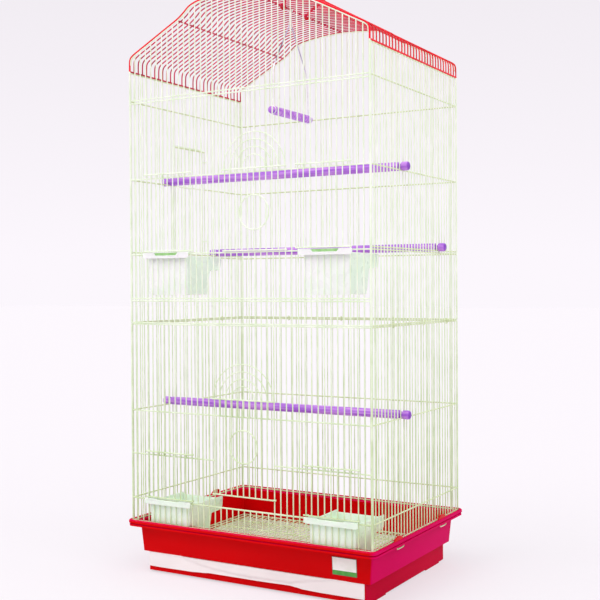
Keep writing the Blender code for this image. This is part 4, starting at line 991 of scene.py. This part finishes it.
addRing(bm, at(middle, y, hole), *swing["holeRing"], sides=10)
addBlock(bm, (middle - stemX, y - stemY, hole + swing["stemLow"]),
         (middle + stemX, y + stemY, ridge - swing["stemTop"]), swing["stemEdge"], 3)
finishPiece("swingHook", bm, [whitePlastic], "swing", ["swing_hook"])
path = [at(middle, y - d, z) for d, z in swing["frame"]]
path += [at(middle, y + d, z) for d, z in reversed(swing["frame"])]
bm = bmesh.new()
addBent(bm, roundCorners(path, swing["bend"], 5), swing["wire"])
for s in (-1, 1):
    addRing(bm, at(middle, y + s * swing["half"], swing["perch"]), *swing["eye"], steps=28)
finishPiece("swingFrame", bm, [bareWire], "swing", ["swing_frame"])
bm = bmesh.new()
addPerch(bm, at(middle, y, swing["perch"]), Vector((0, 1, 0)), swing["bar"], swing["fluteReach"])
finishPiece("swingPerch", bm, [purplePlastic], "swing", ["swing_perch"], 40)

# carry handle: a round bail whose eyes ring the ridge rail, leaning to the right; its half outline
# is (distance from the middle, height over the pivot)
handle = {"lean": 27.0, "pivot": 844.0, "half": 41.5, "eye": (4.3, 1.6), "tube": 2.3, "sides": 12,
          "bend": 0.008,
          "arm": [(41.5, 4.6), (41.5, 9.0), (68.0, 32.0), (74.0, 42.0), (70.0, 50.8), (60.0, 54.8)]}


def bail(y, h):
    t = math.radians(handle["lean"])
    return at(middle + h * math.sin(t), depth / 2 + y, handle["pivot"] + h * math.cos(t))


path = [bail(-y, h) for y, h in handle["arm"]] + [bail(y, h) for y, h in reversed(handle["arm"])]
bm = bmesh.new()
addBent(bm, roundCorners(path, handle["bend"], 5), handle["tube"], handle["sides"])
for s in (-1, 1):
    eye = at(middle, depth / 2 + s * handle["half"], handle["pivot"])
    addRing(bm, eye, *handle["eye"], sides=10)
finishPiece("carryHandle", bm, [redHandle], "handle", ["carry_handle"])
print("perches, swing and handle done")

# Printed film, the plain sticker on the front wall: a satin face, one green band along its foot, and
# a thin dark line round it that gives it a printed edge.
sticker = {"x": 405.5, "z": -71.75, "reachX": 0.0208, "reachZ": 0.0136, "band": -78.5}
label, tree, shader, place = startMaterial("printedFilm", {
    "IOR": 1.5, "Coat Weight": 0.2, "Coat Roughness": 0.25})
spot = addNode(tree, "SeparateXYZ", {}, {"Vector": place})
band = addNode(tree, "Math", {"operation": "LESS_THAN", 1: at(0, 0, sticker["band"]).z},
               {0: spot.outputs["Z"]}).outputs[0]
film = mixColours(tree, place, "#FBFBF6", "#F0F2EA", size=12)
green = mixColours(tree, place, "#4FA83A", "#3C962C", size=6)
printed = blend(tree, band, film, green)
centre = at(sticker["x"], 0, sticker["z"])
sides = []
for axis, origin, reach in (("X", centre.x, sticker["reachX"]), ("Z", centre.z, sticker["reachZ"])):
    away = addNode(tree, "Math", {"operation": "SUBTRACT", 1: origin}, {0: spot.outputs[axis]}).outputs[0]
    away = addNode(tree, "Math", {"operation": "ABSOLUTE"}, {0: away}).outputs[0]
    away = addNode(tree, "Math", {"operation": "GREATER_THAN", 1: reach}, {0: away}).outputs[0]
    sides.append(away)
border = addNode(tree, "Math", {"operation": "MAXIMUM"}, {0: sides[0], 1: sides[1]}).outputs[0]
edged = addNode(tree, "Mix", {"data_type": "RGBA", mixSecond: hexColour("#5A6A5C")},
                {"Factor": border, mixFirst: printed}).outputs[mixResult]
giveSurface(tree, shader, place, edged, gloss=(6, 0.34, 0.46), relief=(2.0, 0.08, 0.05))
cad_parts["label_plate"].data.materials.clear()
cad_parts["label_plate"].data.materials.append(label)


# floor and light
def seenByCamera(tree):
    # one where the camera looks, also by way of a gloss or through something, and nought elsewhere
    paths = addNode(tree, "LightPath")
    seen = addNode(tree, "Math", {"operation": "MAXIMUM"},
                   {0: paths.outputs["Is Camera Ray"], 1: paths.outputs["Is Glossy Ray"]})
    return addNode(tree, "Math", {"operation": "MAXIMUM"},
                   {0: seen.outputs[0], 1: paths.outputs["Is Transmission Ray"]}).outputs[0]


# Matt paper that hardly shades: more than half of what the camera sees of it is an even pale glow.
paper = {"size": 20.0, "glow": 0.6}
ground, tree, shader, place = startMaterial("paperSweep", {
    "Base Color": hexColour("#EDE8ED"), "Specular IOR Level": 0.0, "Roughness": 0.9})
share = addNode(tree, "Math", {"operation": "MULTIPLY", 1: paper["glow"]},
                {0: seenByCamera(tree)}).outputs[0]
glow = addNode(tree, "Emission", {"Color": hexColour("#FCF8FD"), "Strength": 1.0}).outputs[0]
both = addNode(tree, "MixShader", {}, {0: share, 1: shader.outputs[0], 2: glow}).outputs[0]
tree.links.new(both, tree.nodes["Material Output"].inputs["Surface"])
bm = bmesh.new()
bmesh.ops.create_grid(bm, x_segments=1, y_segments=1, size=paper["size"])
mesh = bpy.data.meshes.new("floor")
bm.to_mesh(mesh)
bm.free()
floor = bpy.data.objects.new("floor", mesh)
floor.data.materials.append(ground)
scene.collection.objects.link(floor)

# wide, soft suns keep the paper evenly lit; each is (towards the lamp, its angle in degrees, strength)
suns = {"key": ((-0.6, -0.85, 1.35), 50, 1.28), "side": ((1.0, -0.35, 0.95), 60, 0.95),
        "top": ((0.1, 0.2, 1.0), 90, 0.28)}
for name, (towards, angle, strength) in suns.items():
    sun = bpy.data.objects.new(name, bpy.data.lights.new(name, "SUN"))
    sun.data.angle = math.radians(angle)
    sun.data.energy = strength
    sun.rotation_euler = Vector(towards).to_track_quat("Z", "Y").to_euler()
    scene.collection.objects.link(sun)

# the world lights evenly, and the camera sees a backdrop that greys a little with height
studio = {"light": 0.6, "low": 0.03, "high": 0.26}
world = bpy.data.worlds.new("studio")
scene.world = world
world.use_nodes = True
tree = world.node_tree
tree.nodes["Background"].inputs["Color"].default_value = hexColour("#FBF8FB")
tree.nodes["Background"].inputs["Strength"].default_value = studio["light"]
towards = addNode(tree, "TexCoord").outputs["Generated"]
climb = addNode(tree, "SeparateXYZ", {}, {"Vector": towards}).outputs["Z"]
climb = addNode(tree, "MapRange", {"From Min": studio["low"], "From Max": studio["high"]},
                {"Value": climb}).outputs["Result"]
shade = addNode(tree, "ValToRGB", {}, {"Fac": climb})
shade.color_ramp.elements[0].color = hexColour("#FCF7FD")
shade.color_ramp.elements[1].color = hexColour("#F2EDF3")
backdrop = addNode(tree, "Background", {"Strength": 1.0}, {"Color": shade.outputs["Color"]})
mixed = addNode(tree, "MixShader", {}, {
    0: seenByCamera(tree), 1: tree.nodes["Background"].outputs[0], 2: backdrop.outputs[0]})
tree.links.new(mixed.outputs[0], tree.nodes["World Output"].inputs["Surface"])

scene.view_settings.view_transform = "Standard"
print("scene ready")
